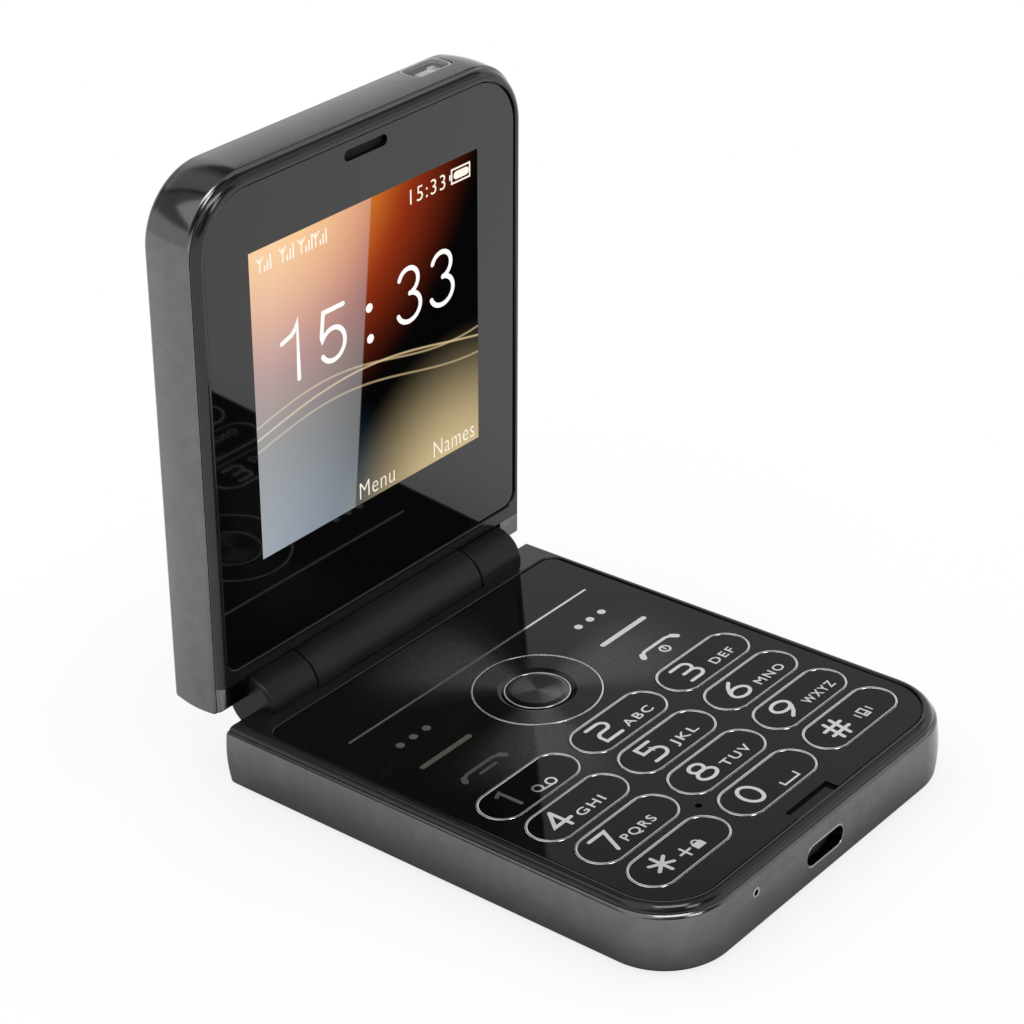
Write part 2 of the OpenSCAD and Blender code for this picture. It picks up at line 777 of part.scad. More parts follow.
// Plain hollow pin, pressed into the right knuckle and turning in the barrel
module hinge_pin() color([0.66, 0.66, 0.68]) {
    difference() {
        union() {
            axis_rod(hinge_bore_r - fit, knuckle_start, knuckle_end - knuckle_cap - fit);
            axis_rod(pin_r, barrel_half - pin_len, knuckle_start + eps);
        }
        axis_rod(flex_r + flex_gap, 0, knuckle_end);
    }
}

// Middle barrel with the tongue that fixes it in the screen half
module hinge_barrel() color([0.09, 0.09, 0.10]) lid() {
    slot_x0 = flex_x0 - 2 * fit;
    slot_x1 = flex_x0 + flex_w + 2 * fit;
    difference() {
        union() {
            lid_axis_rod(barrel_r, -barrel_stop, barrel_stop);
            block([-tongue_x, tongue_y0, tongue_top - tongue_t],
                  [tongue_x, hinge_y - barrel_r + 1.2, tongue_top]);
        }
        lid_axis_rod(hinge_bore_r, -barrel_half, -barrel_half + follower_len + spring_len + 0.7);
        lid_axis_rod(pin_r + fit, barrel_half - pin_len - 0.2, barrel_half);
        lid_axis_rod(flex_r + flex_gap, slot_x0, barrel_half);
        block([slot_x0, 0, flex_z - 2 * fit], [slot_x1, hinge_y + flex_t, flex_z + flex_t + 2 * fit]);
        block([slot_x0, hinge_y - flex_t, flex_z - 2 * fit], [slot_x1, hinge_y + flex_t, lid_back]);
    }
}

// Cam follower, which turns with the screen half and gives the clicks
module hinge_cam_follower() color([0.62, 0.60, 0.57]) lid() {
    lid_axis_rod(hinge_bore_r - fit, -barrel_stop, -barrel_half + follower_len);
    lid_axis_rod(pin_r, follower_tip, -barrel_stop + eps);
}

// Coil spring behind the follower: one unbroken wire
module hinge_spring() color([0.75, 0.75, 0.77]) lid() {
    wire_r = 0.3;
    coil_r = hinge_bore_r - wire_r - 0.15;
    sides = 6;
    steps = 16 * spring_turns;
    pitch = (spring_len - 2 * wire_r) / spring_turns;
    translate([-barrel_half + follower_len + 0.1 + wire_r, hinge_y, lid_back]) rotate([0, 90, 0])
        wire(coil_r, wire_r, pitch, steps, sides);
}

// Helix of a round wire, 16 steps to a turn, closed at both ends
module wire(coil_r, wire_r, pitch, steps, sides) {
    points = [for (i = [0:steps], j = [0:sides - 1]) let (
        a = i * 22.5,
        b = j * 360 / sides,
        rho = coil_r + wire_r * cos(b)
    ) [rho * cos(a), rho * sin(a), i * pitch / 16 + wire_r * sin(b)]];
    skin = [for (i = [0:steps - 1], j = [0:sides - 1]) let (
        k = (j + 1) % sides,
        p = i * sides,
        q = p + sides
    ) each [[p + j, p + k, q + k], [p + j, q + k, q + j]]];
    first = [for (j = [1:sides - 2]) [0, j + 1, j]];
    last = [for (j = [1:sides - 2]) [steps * sides, steps * sides + j, steps * sides + j + 1]];
    polyhedron(points, concat(skin, first, last));
}

// ---------- screen half ----------

// Plated band round the screen half, with the torch window
module lid_frame() color([0.40, 0.40, 0.42]) lid() {
    difference() {
        band(lid_band_top);
        lid_axis_rod(swing_r, -knuckle_room, knuckle_room);
        torch_hole(0);
        torch_hole(torch_lip, y_free + band_wall / 2);
    }
}

// Window for the torch, widened by grow from y0 inwards
module torch_hole(grow, y0 = y_free - past) {
    translate([torch_right, y0, torch_z]) rotate([-90, 0, 0]) linear_extrude(band_wall + 2 * past)
        torch_outline(grow);
}

// Shape of the torch window, widened by grow
module torch_outline(grow) {
    outline(torch_w + 2 * grow, -torch_h / 2 - grow, torch_h / 2 + grow,
            torch_corner_r, torch_corner_r);
}

// Plain outer cover of the screen half
module lid_back_cover() color([0.10, 0.10, 0.11]) lid() {
    linear_extrude(cover_t) half_outline(band_wall + fit);
}

// Stiff sheet that carries the screen and the lid's board
module lid_midframe() color([0.55, 0.56, 0.58]) lid() {
    translate([0, 0, midframe_bot]) linear_extrude(midframe_t) difference() {
        intersection() {
            half_outline(band_wall);
            translate([-inner_x, y_free])
                square([2 * inner_x, hinge_y - lining_r - 2 * fit - y_free]);
        }
        translate([torch_right - torch_w, y_free]) square([2 * torch_w, band_wall + torch_room]);
        translate([-ear_w / 2 - pocket_gap, y_free])
            square([ear_w + 2 * pocket_gap, ear_y + ear_d / 2 + pocket_gap - y_free]);
        translate([flex_x0 - pocket_gap, flex_y0 - pocket_gap])
            square([flex_w + 2 * pocket_gap, flex_t + 3 * pocket_gap]);
        for (s = [-1, 1], y = [-screw_front, screw_rear])
            translate([s * screw_x, y]) circle(screw_r + 2 * fit);
    }
}

// Black rim and ledge round the glass
module lid_bezel() color([0.06, 0.06, 0.07]) lid() {
    difference() {
        union() {
            edged_slab(rim_profile(lid_t));
            translate([0, 0, bezel_bot]) linear_extrude(lid_band_top + rim_seam - bezel_bot + eps)
                half_outline(band_wall);
            at_screws() translate([0, 0, midframe_top + fit])
                cylinder(r = boss_r, h = bezel_bot - midframe_top);
        }
        translate([0, 0, glass_bot]) linear_extrude(lid_t) panel_outline(fit);
        translate([0, 0, bezel_bot - past]) linear_extrude(lid_t) {
            translate([-display_w / 2 - pocket_gap, display_y0 - pocket_gap])
                square([display_w + 2 * pocket_gap, display_y1 - display_y0 + 2 * pocket_gap]);
            translate([0, ear_y]) square([ear_w + 2 * fit, ear_d + 2 * fit], center = true);
        }
        block([-body_w, bezel_end, 0], [body_w, body_len, 2 * lid_t]);
        at_screws() cylinder(r = screw_r, h = bezel_bot + bezel_ledge / 2);
    }
}

// Metal hinge end of the screen half: two tips and the lining round the barrel
module lid_hinge_cover() color([0.42, 0.42, 0.44]) lid() {
    difference() {
        intersection() {
            union() {
                edged_slab(rim_profile(lid_t));
                translate([0, 0, midframe_bot])
                    linear_extrude(lid_band_top + rim_seam + eps - midframe_bot)
                        half_outline(band_wall);
            }
            union() {
                for (s = [-1, 1]) translate([s * (body_w / 2 + knuckle_room) / 2, 0, 0])
                    block([-(body_w / 2 - knuckle_room) / 2, bezel_end + fit, 0],
                          [(body_w / 2 - knuckle_room) / 2, body_len, lid_t]);
                intersection() {
                    lid_axis_rod(lining_r, -knuckle_room - eps, knuckle_room + eps);
                    block([-body_w, 0, 0], [body_w, y_hinge - band_wall, lid_t]);
                }
            }
        }
        lid_axis_rod(swing_r, -knuckle_room, knuckle_room);
        block([-body_w, y_free, bezel_bot - fit], [body_w, bezel_end + fit, 2 * lid_t]);
        block([-tongue_x - 2 * fit, 0, flex_z - 2 * fit],
              [tongue_x + 2 * fit, hinge_y - tongue_slot_in, tongue_top + 2 * fit]);
    }
}

// Screen glass with the earpiece slot
module lid_glass() color([0.03, 0.03, 0.04]) lid() {
    translate([0, 0, glass_bot]) linear_extrude(glass_t) difference() {
        panel_outline();
        translate([0, ear_y]) pill(ear_slot_l, ear_slot_w);
    }
}

// Screen: the lit layer under the glass
module display_panel() color([0.85, 0.60, 0.25]) lid() {
    block([-display_w / 2, display_y0, display_bot],
          [display_w / 2, display_y1, display_bot + display_t]);
}

// Tray with the screen's light guide
module backlight_unit() color([0.90, 0.90, 0.92]) lid() {
    block([-display_w / 2, display_y0, backlight_bot],
          [display_w / 2, display_y1 - display_edge, backlight_bot + backlight_t]);
}

// Small board that joins the screen, earpiece and torch
module lid_board() color([0.10, 0.25, 0.18]) lid() {
    translate([0, 0, lid_board_bot]) linear_extrude(lid_board_t) {
        translate([-lid_board_w / 2, lid_board_y0])
            square([lid_board_w, flex_y0 + 10 * flex_t - lid_board_y0]);
        translate([torch_right - led_w, led_y + led_d / 2])
            square([2 * led_w, lid_board_y0 + eps - led_y - led_d / 2]);
    }
}

// Flexible circuit: from the lid's board through the barrel into the hollow pin
module display_flex() color([0.75, 0.50, 0.20]) lid() {
    x1 = flex_x0 + flex_w;
    block([flex_x0, flex_y0, lid_board_top], [x1, flex_y0 + flex_t, flex_z + flex_t]);
    block([flex_x0, flex_y0, flex_z], [x1, hinge_y + flex_t / 2, flex_z + flex_t]);
    block([flex_x0, hinge_y - flex_t / 2, flex_z], [x1, hinge_y + flex_t / 2, lid_back]);
    lid_axis_rod(flex_r, flex_x0, knuckle_end - 3 * knuckle_cap);
}

// Earpiece under the slot in the glass
module earpiece() color([0.20, 0.20, 0.21]) lid() {
    translate([0, ear_y, glass_bot - mesh_t - 2 * fit - ear_t])
        block([-ear_w / 2, -ear_d / 2, 0], [ear_w / 2, ear_d / 2, ear_t]);
}

// Fine mesh over the earpiece
module earpiece_mesh() color([0.30, 0.30, 0.31]) lid() {
    translate([0, ear_y, glass_bot - mesh_t - fit])
        linear_extrude(mesh_t) pill(ear_slot_l + 2 * mesh_lap, ear_slot_w + 2 * mesh_lap);
}

// Clear torch lens, held from inside by its lip
module torch_lens() color([0.85, 0.87, 0.88]) lid() {
    translate([torch_right, 0, torch_z]) rotate([-90, 0, 0]) {
        translate([0, 0, y_free + torch_sink]) linear_extrude(band_wall - torch_sink)
            torch_outline(-fit);
        translate([0, 0, y_free + band_wall / 2 + fit]) linear_extrude(band_wall / 2 - fit)
            torch_outline(torch_lip - fit);
    }
}

// Torch lamp on the lid's board
module torch_led() color([0.95, 0.90, 0.60]) lid() {
    translate([torch_right, led_y, lid_board_bot - led_t])
        block([-led_w / 2, 0, 0], [led_w / 2, led_d, led_t]);
}

// Small magnet that tells the keypad half that the phone is shut
module lid_magnet() color([0.60, 0.60, 0.62]) lid() {
    translate([magnet_x, ear_y, midframe_top]) cylinder(r = magnet_r, h = bezel_bot - midframe_top);
}

// Four case screws of the screen half
module lid_screws() color([0.55, 0.55, 0.57]) lid() {
    foot = midframe_bot - head_t;
    at_screws() translate([0, 0, foot]) case_screw(bezel_bot + bezel_ledge / 2 - 2 * fit - foot);
}

base_frame();
back_cover();
base_chassis();
battery();
battery_contacts();
main_board();
shield_cans();
sim_holders();
charging_port_shell();
charging_port_tongue();
microphones();
loudspeaker();
vibration_motor();
antenna();
base_screws();
dome_sheet();
keymat();
keypad_deck();
keypad_panel();
hinge_cam_housing();
hinge_pin();
key(0, 0);  // key_1
key(1, 0);  // key_2
key(2, 0);  // key_3
key(0, 1);  // key_4
key(1, 1);  // key_5
key(2, 1);  // key_6
key(0, 2);  // key_7
key(1, 2);  // key_8
key(2, 2);  // key_9
key(0, 3);  // key_star
key(1, 3);  // key_0
key(2, 3);  // key_hash
nav_rocker_pad();
nav_ring();
ok_button();
lid_frame();
lid_back_cover();
lid_midframe();
lid_bezel();
lid_hinge_cover();
lid_glass();
display_panel();
backlight_unit();
lid_board();
display_flex();
earpiece();
earpiece_mesh();
torch_lens();
torch_led();
lid_magnet();
lid_screws();
hinge_barrel();
hinge_cam_follower();
hinge_spring();
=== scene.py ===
"""The looks of a flip phone, built piece by piece around its packed construction."""
import json
import logging
import math
from dataclasses import dataclass, field
from enum import Enum
from typing import Sequence

import bmesh
import bpy
from mathutils import Matrix, Vector

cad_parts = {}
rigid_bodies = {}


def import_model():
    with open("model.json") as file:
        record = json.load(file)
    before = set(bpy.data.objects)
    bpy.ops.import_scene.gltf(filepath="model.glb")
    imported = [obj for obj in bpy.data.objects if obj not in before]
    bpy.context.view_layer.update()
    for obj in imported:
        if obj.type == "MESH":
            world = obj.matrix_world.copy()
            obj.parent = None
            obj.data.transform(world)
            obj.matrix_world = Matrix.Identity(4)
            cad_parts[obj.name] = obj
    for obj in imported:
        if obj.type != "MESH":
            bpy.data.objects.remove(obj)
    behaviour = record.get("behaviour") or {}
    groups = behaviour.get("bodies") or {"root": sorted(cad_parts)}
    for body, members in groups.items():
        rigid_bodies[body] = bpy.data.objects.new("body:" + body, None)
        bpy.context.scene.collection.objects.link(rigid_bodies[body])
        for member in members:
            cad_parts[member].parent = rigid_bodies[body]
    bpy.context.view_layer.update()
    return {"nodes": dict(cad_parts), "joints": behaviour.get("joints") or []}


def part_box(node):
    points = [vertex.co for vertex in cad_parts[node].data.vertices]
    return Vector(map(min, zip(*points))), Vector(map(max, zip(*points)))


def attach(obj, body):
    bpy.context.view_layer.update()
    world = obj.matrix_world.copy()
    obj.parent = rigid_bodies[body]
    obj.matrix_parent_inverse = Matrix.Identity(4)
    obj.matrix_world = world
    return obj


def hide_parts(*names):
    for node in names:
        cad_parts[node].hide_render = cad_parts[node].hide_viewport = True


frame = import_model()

LOG = logging.getLogger("flip_phone")
MM = 0.001
SMOOTH_ANGLE = math.radians(34)
Colour = tuple[float, float, float]
BLACK, WHITE = (0.0, 0.0, 0.0), (1.0, 1.0, 1.0)
Ring = list[Vector]
Node, Socket, Tree = bpy.types.Node, bpy.types.NodeSocket, bpy.types.NodeTree
Thing, Material, Shape = bpy.types.Object, bpy.types.Material, bmesh.types.BMesh
Value = Node | Socket | float
Profile = list[tuple[float, float]]


# sizes


@dataclass(frozen=True)
class Case:
    """Sizes that both halves of the case share, in metres, with the keypad half's axes."""

    half_width: float
    y_free: float
    y_hinge: float
    corner: float = 11.3 * MM
    hinge_corner: float = 1.0 * MM
    crown: float = 0.3 * MM
    edge_round: float = 1.2 * MM
    bevel: tuple[float, float] = (0.45 * MM, 0.48 * MM)
    wall: float = 2.0 * MM
    rim_in: float = 0.8 * MM
    rim_height: float = 1.25 * MM
    rim_seam: float = 0.1 * MM
    lip_over: float = 1.0 * MM
    glass_in: float = 0.15 * MM
    panel_margin: float = 2.45 * MM
    panel_hinge_margin: float = 7.35 * MM
    panel_hinge_r: float = 2.5 * MM
    cover: float = 1.2 * MM

    @property
    def panel_y0(self) -> float:
        """Edge of the panel or glass at the free end."""
        return self.y_free + self.panel_margin

    @property
    def panel_y1(self) -> float:
        """Edge of the panel or glass at the hinge end."""
        return self.y_hinge - self.panel_hinge_margin

    def outline(self, inset: float) -> Ring:
        """The half's outline at z = 0, drawn in by an inset.

        Args:
            inset: how far it is drawn in.

        Returns:
            The outline's points.
        """
        low = 0.15 * MM
        return round_outline(
            self.half_width - inset, self.y_free + inset, self.y_hinge - inset,
            max(self.corner - inset, low), max(self.hinge_corner - inset, low))

    def panel_outline(self, gap: float) -> Ring:
        """The outline of the panel or glass at z = 0, drawn out by a gap.

        Args:
            gap: how far it is drawn out.

        Returns:
            The outline's points.
        """
        return round_outline(
            self.half_width - self.panel_margin + gap, self.panel_y0 - gap,
            self.panel_y1 + gap, self.corner - self.panel_margin + gap,
            self.panel_hinge_r + gap)

    def front(self, x: float, z: float) -> Matrix:
        """The place on the band's free end for an outline drawn in the plane."""
        return (Matrix.Translation((x, self.y_free, z))
                @ Matrix.Rotation(math.radians(90), 4, "X"))

    def cover_sheet(self, name: str) -> Thing:
        """Makes the plain sheet that covers the half's back."""
        return new_object(name, prism(
            self.outline(self.wall + 0.05 * MM), 0, self.cover, 0.25 * MM, True))


@dataclass(frozen=True)
class Hinge:
    """The hinge's place and sizes, in metres."""

    y: float
    z: float
    opened: float
    lid_back: float = 10.7 * MM
    barrel_r: float = 4.9 * MM
    clear_r: float = 5.3 * MM
    lining_r: float = 6.2 * MM
    barrel_half: float = 19.45 * MM
    knuckle_start: float = 19.75 * MM
    knuckle_end: float = 29.8 * MM
    knuckle_room: float = 30.1 * MM

    def lid_matrix(self) -> Matrix:
        """The place of the screen half: from its shut half frame to the open phone.

        Returns:
            The place.
        """
        back = Matrix.Translation((0, -self.y, self.lid_back)) @ Matrix.Diagonal((1, 1, -1, 1))
        return self.axis(self.z) @ Matrix.Rotation(-self.opened, 4, "X") @ back

    def axis(self, height: float) -> Matrix:
        """The place of the hinge's axis, at its height in the half that is being built."""
        return Matrix.Translation((0, self.y, height))

    def cutter(self, radius: float, reach: float, height: float) -> Shape:
        """Makes a round cutter along the hinge's axis, out to a reach on both sides."""
        return moved(turned([(-reach, radius), (reach, radius)], 128), self.axis(height))

    def lining(self, name: str, start: float, sweep: float, steps: int, reach: float,
               height: float) -> Thing:
        """Makes a round shell along the hinge's axis, under the barrel or round it.

        Args:
            name: the shell's name.
            start: angle where it starts, in degrees.
            sweep: how far round it goes, in degrees.
            steps: number of its segments.
            reach: how far it goes to either side.
            height: the axis's height.

        Returns:
            The shell.
        """
        turn = [math.radians(start + sweep * i / steps) for i in range(steps + 1)]
        loop = [(self.clear_r, a) for a in turn] + [(self.lining_r, a) for a in reversed(turn)]
        return new_object(name, skin([
            [Vector((x, self.y + r * math.cos(a), height + r * math.sin(a)))
             for r, a in loop] for x in (-reach, reach)]))


def read_hinge() -> Hinge:
    """Reads the hinge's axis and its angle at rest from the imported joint.

    Returns:
        The hinge.
    """
    joint = next(j for j in frame["joints"] if j["name"] == "lid_hinge")
    return Hinge(joint["pos_m"][1], joint["pos_m"][2], math.radians(-joint["range_deg"][0]))


def read_case() -> Case:
    """Reads the case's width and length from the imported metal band.

    Returns:
        The case's shared sizes.
    """
    low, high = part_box("base_frame")
    return Case(high.x, low.y, high.y)


def round_outline(
        half_width: float, y0: float, y1: float, free_r: float, hinge_r: float) -> Ring:
    """Draws a rectangle with two corner radii, counter-clockwise.

    Args:
        half_width: half of its width.
        y0: its edge at the free end.
        y1: its edge at the hinge end.
        free_r: radius of the corners at the free end.
        hinge_r: radius of the corners at the hinge end.

    Returns:
        The outline's points, always the same number in the same order.
    """
    free_steps, hinge_steps = 24, 10
    corners = (
        (free_r - half_width, y0 + free_r, free_r, 180, free_steps),
        (half_width - free_r, y0 + free_r, free_r, 270, free_steps),
        (half_width - hinge_r, y1 - hinge_r, hinge_r, 0, hinge_steps),
        (hinge_r - half_width, y1 - hinge_r, hinge_r, 90, hinge_steps),
    )
    return [
        Vector((x + r * math.cos(math.radians(start + 90 * i / steps)),
                y + r * math.sin(math.radians(start + 90 * i / steps)), 0))
        for x, y, r, start, steps in corners for i in range(steps + 1)]


def pill_outline(width: float, depth: float, steps: int = 16) -> Ring:
    """Draws a pill, counter-clockwise, with its segments at each round end.

    Args:
        width: its length.
        depth: its width across.
        steps: segments of each round end.

    Returns:
        The outline's points.
    """
    r = depth / 2
    return [
        Vector((s * (width / 2 - r) + r * math.cos(a), r * math.sin(a), 0))
        for s, start in ((1, -90), (-1, 90))
        for a in (math.radians(start + 180 * i / steps) for i in range(steps + 1))]


def arc(inset: float, height: float, across: float, up: float,
        start: float, end: float, steps: int) -> Profile:
    """Draws an elliptical stretch of a profile.

    Args:
        inset: how far in its centre lies.
        height: height of its centre.
        across: its radius across, where positive angles of 0 point inwards.
        up: its radius in height.
        start: first angle in degrees.
        end: last angle in degrees.
        steps: number of segments.

    Returns:
        Pairs of (inset, height).
    """
    angles = (math.radians(start + (end - start) * i / steps) for i in range(steps + 1))
    return [(inset + across * math.cos(a), height + up * math.sin(a)) for a in angles]


def oval(x: float, y: float, across: float, up: float) -> Profile:
    """Draws a whole ellipse, which ends where it starts."""
    return arc(x, y, across, up, 0, 360, 28)


KEY_FIGURES: dict[str, list[Profile]] = {
    "1": [[(-0.5, 0.78), (0.1, 1), (0.1, -1)]],
    "2": [[(-1, 1)] + arc(0.35, 0.52, 0.65, 0.48, 90, -90, 12)
          + arc(-0.35, -0.44, 0.65, 0.48, 90, 180, 6) + [(-1, -1), (1, -1)]],
    "3": [[(-1, 1)] + arc(0.3, 0.5, 0.65, 0.5, 90, -90, 12) + [(-0.6, 0)],
          [(0.2, 0)] + arc(0.3, -0.5, 0.7, 0.5, 90, -90, 12) + [(-1, -1)]],
    "4": [[(0.3, 1), (-1, -0.42), (1, -0.42)], [(0.3, 1), (0.3, -1)]],
    "5": [[(0.9, 1), (-0.85, 1), (-0.9, 0.2), (0.15, 0.2)]
          + arc(0.15, -0.4, 0.85, 0.6, 90, -90, 12) + [(-1, -1)]],
    "6": [[(0.5, 1), (-0.2, 0.6), (-0.75, 0.1), (-0.92, -0.15)], oval(0, -0.4, 1, 0.6)],
    "7": [[(-1, 1), (0.85, 1), (-0.25, -1)]],
    "8": [oval(0, 0.52, 0.72, 0.48), oval(0, -0.45, 1, 0.55)],
    "9": [[(-0.5, -1), (0.2, -0.6), (0.75, -0.1), (0.92, 0.15)], oval(0, 0.4, 1, 0.6)],
    "0": [oval(0, 0, 0.9, 1)],
}
CLOCK_FIGURES: dict[str, list[Profile]] = {
    "1": [[(-1, 0.52), (0.2, 0.66), (0.75, 0.84), (0.95, 1), (0.95, -1)]],
    "5": [[(0.85, 1), (-0.72, 1), (-0.9, 0.1)] + arc(-0.02, -0.35, 0.95, 0.62, 148, -150, 24)],
    "3": [arc(-0.02, 0.52, 0.8, 0.47, 160, -82, 20), arc(0, -0.45, 0.95, 0.52, 84, -160, 22)],
}


KEY_SIGNS: dict[str, list[tuple[Profile, float]]] = {
    "key_1": [(oval(0.3, -1.5, 0.8, 0.8), 0.35), (oval(2.95, -1.8, 0.8, 0.8), 0.35),
              ([(0.3, -2.3), (2.95, -2.6)], 0.3)],
    "key_0": [([(0.85, -1.55), (0.85, -2.5), (4.3, -2.55), (4.36, -1.4)], 0.34)],
    "key_star": [([(-4.0 + way * 1.9 * math.cos(turn), 0.1 + way * 1.9 * math.sin(turn))
                   for way in (-1, 1)], 0.6) for turn in map(math.radians, (90, 30, 150))]
    + [([(-0.77, -0.85), (1.33, -0.85)], 0.4), ([(0.28, -1.9), (0.28, 0.2)], 0.4),
       ([(1.95, -1.95), (3.85, -1.95), (3.85, -0.6), (1.95, -0.6)], 0),
       (arc(2.9, -0.6, 0.55, 0.55, 0, 180, 10), 0.28)],
    "key_hash": [([(-4.85, -2.2), (-4.15, 2.0)], 0.62), ([(-5.7, -0.9), (-1.7, -0.9)], 0.62),
                 ([(-3.25, -2.2), (-2.55, 2.0)], 0.62), ([(-5.7, 0.7), (-1.7, 0.7)], 0.62),
                 ([(0.9, -1.35), (0.9, -0.15)], 0.28), ([(3.9, -1.35), (3.9, -0.15)], 0.28),
                 ([(1.85, -1.7), (2.95, -1.7), (2.95, 0.2), (1.85, 0.2), (1.85, -1.7)], 0.32),
                 ([(2.1, -1.2), (2.7, -1.2)], 0.3)],
}


# meshes


class Body(Enum):
    """The moving bodies that most pieces ride on."""

    BASE = "base"
    LID = "lid"
    RING = "nav_ring"
    BUTTON = "ok_button"


def lifted(ring: Ring, height: float) -> Ring:
    """Copies a ring of points to a height."""
    return [Vector((p.x, p.y, height)) for p in ring]


def circle(radius: float, height: float, steps: int) -> Ring:
    """Draws a level circle round the vertical axis."""
    turn = (2 * math.pi * i / steps for i in range(steps))
    return [Vector((radius * math.cos(a), radius * math.sin(a), height)) for a in turn]


def skin(rings: Sequence[Ring], closed: bool = False) -> Shape:
    """Joins rings of one length into a closed shell, capped or joined end to end.

    Args:
        rings: the rings, in order.
        closed: True to join the last to the first.

    Returns:
        The shell.
    """
    bm = bmesh.new()
    rows = [[bm.verts.new(p) for p in ring] for ring in rings]
    pairs = list(zip(rows, rows[1:])) + ([(rows[-1], rows[0])] if closed else [])
    count = len(rows[0])
    for low, high in pairs:
        for i in range(count):
            j = (i + 1) % count
            bm.faces.new((low[i], low[j], high[j], high[i]))
    if not closed:
        bm.faces.new(list(reversed(rows[0])))
        bm.faces.new(rows[-1])
    bmesh.ops.remove_doubles(bm, verts=bm.verts, dist=1e-7)
    bmesh.ops.recalc_face_normals(bm, faces=bm.faces)
    return bm


def turned(profile: Profile, steps: int = 96) -> Shape:
    """Turns a profile of (x, radius) pairs into a solid about the X axis.

    Args:
        profile: the pairs, in order.
        steps: segments round the axis.

    Returns:
        The solid.
    """
    angles = [2 * math.pi * i / steps for i in range(steps)]
    return skin([[Vector((x, r * math.cos(a), r * math.sin(a))) for a in angles]
                 for x, r in profile])


def prism(ring: Ring, low: float, high: float, edge: float = 0.0,
          both: bool = True) -> Shape:
    """Raises an outline into a sheet whose edges are rounded.

    Args:
        ring: the outline, with its centre anywhere.
        low: height of the underside.
        high: height of the top.
        edge: radius of the rounded edges.
        both: False to round the top edge only.

    Returns:
        The closed sheet.
    """
    steps = 4
    turn = [math.radians(90 * i / steps) for i in range(steps + 1)]
    foot = [lifted(shrink(ring, edge * (1 - math.sin(a))), low + edge * (1 - math.cos(a)))
            for a in turn] if edge and both else [lifted(ring, low)]
    top = [lifted(shrink(ring, edge * (1 - math.cos(a))), high - edge * (1 - math.sin(a)))
           for a in turn] if edge else [lifted(ring, high)]
    return skin(foot + top)


def shrink(ring: Ring, by: float) -> Ring:
    """Draws a convex ring in by a distance along its own normals.

    Args:
        ring: the ring.
        by: how far it is drawn in.

    Returns:
        The smaller ring.
    """
    if not by:
        return list(ring)
    count = len(ring)
    out = []
    for i, p in enumerate(ring):
        before, after = (p - ring[i - 1]), (ring[(i + 1) % count] - p)
        if before.length < 1e-9:
            before = p - ring[i - 2]
        if after.length < 1e-9:
            after = ring[(i + 2) % count] - p
        along = before.normalized() + after.normalized()
        normal = Vector((-along.y, along.x, 0)).normalized()
        out.append(p + normal * by)
    return out


def slab(points: Sequence[Vector], faces: Sequence[Sequence[int]], low: float,
         high: float) -> Shape:
    """Raises flat counter-clockwise faces into a closed sheet with upright sides.

    Args:
        points: the corners.
        faces: numbers of the corners of each face.
        low: height of the underside.
        high: height of the top.

    Returns:
        The closed sheet.
    """
    bm = bmesh.new()
    feet, tops = ([bm.verts.new((p.x, p.y, z)) for p in points] for z in (low, high))
    used = {(a, b) for face in faces for a, b in zip(face, (*face[1:], face[0]))}
    for face in faces:
        bm.faces.new([tops[i] for i in face])
        bm.faces.new([feet[i] for i in reversed(face)])
    for a, b in used:
        if (b, a) not in used:
            bm.faces.new((tops[b], tops[a], feet[a], feet[b]))
    return bm


def ribbon(line: Sequence[Vector], half: float,
           closed: bool) -> tuple[list[Vector], list[tuple[int, ...]]]:
    """Widens a line into flat faces with mitred bends and round ends.

    Args:
        line: the line's points.
        half: half of its width.
        closed: True to join its end to its start.

    Returns:
        The corners and the faces.
    """
    points, count = [], len(line)
    for i, p in enumerate(line):
        ways = []
        if closed or i:
            ways.append((p - line[i - 1]).normalized())
        if closed or i < count - 1:
            ways.append((line[(i + 1) % count] - p).normalized())
        sides = [Vector((-w.y, w.x, 0)) for w in ways]
        middle = (sides[0] + sides[-1]).normalized()
        reach = middle * half / max(middle.dot(sides[0]), 0.4)
        points += [p + reach, p - reach]
    last = count if closed else count - 1
    faces = [(2 * i + 1, 2 * j + 1, 2 * j, 2 * i)
             for i, j in ((i, (i + 1) % count) for i in range(last))]
    if closed:
        return points, faces
    for at, first, end in ((count - 1, 2 * count - 1, 2 * count - 2), (0, 0, 1)):
        start = points[first] - line[at]
        fan = [len(points) + k for k in range(7)]
        points += [line[at] + Matrix.Rotation(math.pi * (k + 1) / 8, 3, "Z") @ start
                   for k in range(7)]
        faces.append((first, *fan, end))
    return points, faces


def block(low: Sequence[float], high: Sequence[float]) -> Shape:
    """Makes a plain block between two corners, for cutting.

    Args:
        low: the low corner.
        high: the high corner.

    Returns:
        The block.
    """
    bm = bmesh.new()
    bmesh.ops.create_cube(bm, size=1)
    size = Vector(high) - Vector(low)
    bmesh.ops.transform(
        bm, verts=bm.verts,
        matrix=Matrix.Translation((Vector(low) + Vector(high)) / 2) @ Matrix.Diagonal((*size, 1)))
    return bm


def rounded_block(low: Sequence[float], high: Sequence[float], edge: float) -> Shape:
    """Makes a block between two corners with all its edges rounded.

    Args:
        low: the low corner.
        high: the high corner.
        edge: width of its rounded edges.

    Returns:
        The block.
    """
    bm = block(low, high)
    bmesh.ops.bevel(bm, geom=bm.edges[:], offset=edge, segments=3, profile=0.5,
                    affect="EDGES")
    bmesh.ops.recalc_face_normals(bm, faces=bm.faces)
    return bm


def moved(bm: Shape, matrix: Matrix) -> Shape:
    """Places a mesh, and turns its faces round if the place mirrors it.

    Args:
        bm: the mesh.
        matrix: its place.

    Returns:
        The same mesh.
    """
    bmesh.ops.transform(bm, verts=bm.verts, matrix=matrix)
    if matrix.determinant() < 0:
        bmesh.ops.reverse_faces(bm, faces=bm.faces)
    return bm


